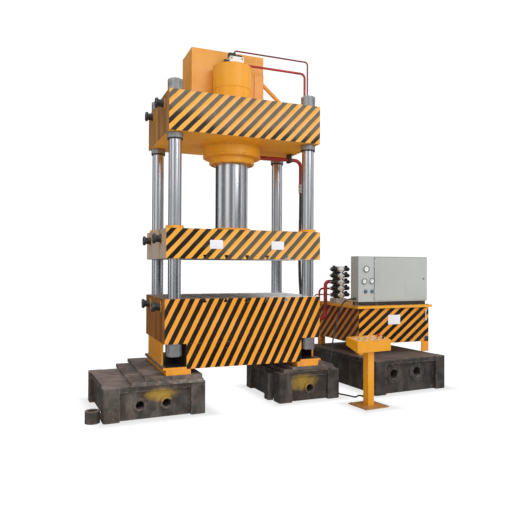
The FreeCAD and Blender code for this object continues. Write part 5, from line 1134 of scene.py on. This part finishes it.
lidLow, lidHigh = boxes["unit_lid"]
lidTop = lidHigh[2]
lid = {"sideInset": 0.030, "frontInset": 0.045, "bolt": (0.017, 0.009)}
hatch = {"x": 2.260, "y": 0.930, "radius": 0.120, "circle": 0.100, "bolts": 8, "thick": 0.010}
drain = {"spots": ((1.905, 0.640), (2.960, 0.640)), "bolt": (0.022, 0.012),
         "blind": [(0, 0), (0.030, 0), (0.030, 0.006), (0.026, 0.009), (0, 0.009)]}
edgeSpots = [(lidLow[0] + share * (lidHigh[0] - lidLow[0]), y, lidTop) for share in np.linspace(0.04, 0.96, 9)
             for y in (lidLow[1] + lid["frontInset"], lidHigh[1] - lid["frontInset"])]
edgeSpots += [(x, lidLow[1] + share * (lidHigh[1] - lidLow[1]), lidTop) for share in np.linspace(0.14, 0.86, 7)
              for x in (lidLow[0] + lid["sideInset"], lidHigh[0] - lid["sideInset"])]
hatchSpots = circleSpots(hatch["x"], hatch["y"], lidTop + hatch["thick"], hatch["circle"],
                         np.arange(hatch["bolts"]) * tau / hatch["bolts"])
motorSpots = [(motor["start"] + x, motor["axisY"] + side * motor["feetY"], lidTop + motor["feetLift"])
              for x in motor["feetX"] for side in (-1, 1)]
makePiece("unit_bolts", spread(boltForm(*lid["bolt"]), edgeSpots) + spread(boltForm(0.014, 0.008), hatchSpots) +
          spread(boltForm(0.018, 0.010), motorSpots), screwSteel, "unit_lid")
hatchForm = turnedForm([(0, 0), (hatch["radius"], 0), (hatch["radius"], 0.007),
                        (hatch["radius"] - 0.003, hatch["thick"]), (0.03, hatch["thick"]), (0.026, 0.022),
                        (0, 0.022)], 48)
makePiece("tank_hatch", [placed(hatchForm, (hatch["x"], hatch["y"], lidTop))], finishes["unit_lid"], "unit_lid")
plugSpot, blindSpot = ((x, tankLow[1], z) for x, z in drain["spots"])
makePiece("drain_plug", spread(boltForm(*drain["bolt"]), [plugSpot], frontAxes) +
          [placed(turnedForm(drain["blind"], 30), blindSpot, frontAxes)], screwSteel, "unit_tank")
print("power unit dressed")

# castings: front left corner, turn in degrees, rim width, then each hole as distance along, height and radius
castings = {"left": ((-1.625, -0.655), 3, 0.034, [(0.395, 0.150, 0.046), (0.690, 0.150, 0.046)]),
            "right": ((0.448, -0.520), 1.5, 0.034, [(0.440, 0.150, 0.046)]),
            "unit": ((1.765, -0.600), 4, 0.060, [(0.330, 0.250, 0.062), (0.720, 0.255, 0.062)])}
bossDepth = 0.055
for name, ((baseX, baseY), degrees, rim, holes) in castings.items():
    turn = math.radians(degrees)
    along = np.array((math.cos(turn), math.sin(turn), 0))
    inward = np.array((-math.sin(turn), math.cos(turn), 0))
    rings = []
    for across, up, radius in holes:
        spot = np.array((baseX, baseY, up)) + across * along + bossDepth * inward
        outer = radius + rim
        boss = turnedForm([(radius, -0.004), (outer, -0.004), (outer - 0.004, 0.012), (outer - 0.012, 0.018),
                           (radius + 0.006, 0.018), (radius, 0.012), (radius, -0.004)], 40)
        rings.append(placed(boss, spot, [along, (0, 0, 1), -inward]))
    node = f"support_block_{name}"
    makePiece(name + "_block_rings", rings, finishes[node], node)
print("castings dressed")

# light: strengths of the white room as matt and as polished surfaces see it, then the two lamps
light = {"shade": 0.37, "front": 1.08, "below": 0.80, "camera": 1.06, "bright": 1.0, "dim": 0.17, "roof": 0.75,
         "windows": 6, "gaps": (2.70, -0.42),
         "key": {"place": (4.5, -12.5, 6.9), "aim": (0, 0, 2.2), "size": (5.2, 4.2), "watts": 230},
         "left": {"place": (-8.0, -6.0, 7.5), "aim": (0, 0, 1.8), "size": (5.0, 5.0), "watts": 60}}


def areaLight(name, place, aim, size, watts):
    data = bpy.data.lights.new(name, "AREA")
    data.shape = "RECTANGLE"
    data.size, data.size_y = size
    data.energy = watts
    lamp = addObject(name, data)
    lamp.location = place
    lamp.rotation_euler = (Vector(aim) - Vector(place)).to_track_quat("-Z", "Y").to_euler()


for name in ("key", "left"):
    areaLight(name + "_light", **light[name])


def studioSky():
    # white behind; matt surfaces see a broad glow from the front right, polished ones tall light and dark panels
    world = bpy.data.worlds.new("studio")
    bpy.context.scene.world = world
    world.use_nodes = True
    f = Finish(None, world.node_tree)
    way = f.add("ShaderNodeTexCoord", outlet="Generated")
    x = f.add("ShaderNodeSeparateXYZ", sockets={0: way})
    y = x.out("Y")
    z = x.out("Z")
    glow = f.step(x * 0.42 - y * 0.78 + z * 0.46, -0.25, 0.95) * light["front"] + light["shade"]
    under = f.fall(z, -0.12, 0.02)
    matt = glow * (1 - under) + under * light["below"]
    around = f.angle(x, y)
    panels = f.one("COSINE", around * light["windows"] + 0.9) + f.one("COSINE", around * 11 + 2.0) * 0.45
    glossy = f.step(panels, -0.25, 0.45) * (light["bright"] - light["dim"]) + light["dim"]
    for middle in light["gaps"]:  # dark where the flat painted faces look
        glossy = glossy * (1 - f.fall(f.distance(around - middle), 0.30, 0.50) * 0.92)
    roof = f.step(z, 0.35, 0.75)
    glossy = (glossy * (1 - roof) + roof * light["roof"]) * (1 - under * 0.72)
    rays = f.add("ShaderNodeLightPath", outlet="Is Camera Ray")
    shiny = rays.out("Is Glossy Ray")
    level = rays * light["camera"] + (1 - rays) * (shiny * glossy + (1 - shiny) * matt)
    back = f.add("ShaderNodeBackground", sockets={"Color": (1.0, 1.0, 1.0), "Strength": level})
    f.add("ShaderNodeOutputWorld", sockets={"Surface": back})


# floor: each footing as middle x, y, half width, half depth and turn in degrees
shade = {"depth": 0.30, "reach": 0.30, "rows": 25, "size": (7.0, 5.0), "middle": (0.8, 0.0), "level": -0.001,
         "footings": [(-1.06, -0.03, 0.565, 0.60, 3), (0.86, 0.04, 0.42, 0.545, 1.5), (2.30, 0.31, 0.595, 0.875, 4),
                      (1.416, -0.968, 0.17, 0.17, 6)]}


def floorShade():
    # a clear sheet with a soft dark rim under each footing: strength falls with the distance outside a turned box
    halfX, halfY = (size / 2 for size in shade["size"])
    x, y = np.meshgrid(np.linspace(-halfX, halfX, shade["rows"]) + shade["middle"][0],
                       np.linspace(-halfY, halfY, shade["rows"]) + shade["middle"][1])
    mesh = meshFrom("floor_shade", [gridForm(np.stack([x, y, np.full(x.shape, shade["level"])], -1), wrap=False)])
    f = Finish("soft_shade")
    rims = []
    for middleX, middleY, halfWide, halfDeep, degrees in shade["footings"]:
        cosine, sine = math.cos(math.radians(degrees)), math.sin(math.radians(degrees))
        across = f.distance((f.x - middleX) * cosine + (f.y - middleY) * sine) - halfWide
        inward = f.distance((f.y - middleY) * cosine - (f.x - middleX) * sine) - halfDeep
        rims.append(f.fall(f.larger(across, inward, 0.0), 0.0, shade["reach"]))
    near = f.larger(*rims)
    speckle = f.noise(3, 3)
    mesh.materials.append(f.shell(f.blend(speckle, (0.20, 0.19, 0.18), (0.26, 0.25, 0.24)), 0.9 + speckle * 0.1,
                                  Alpha=near * near * shade["depth"], IOR=1.3))
    addObject("floor_shade", mesh)


studioSky()
floorShade()
print("floor and light placed")
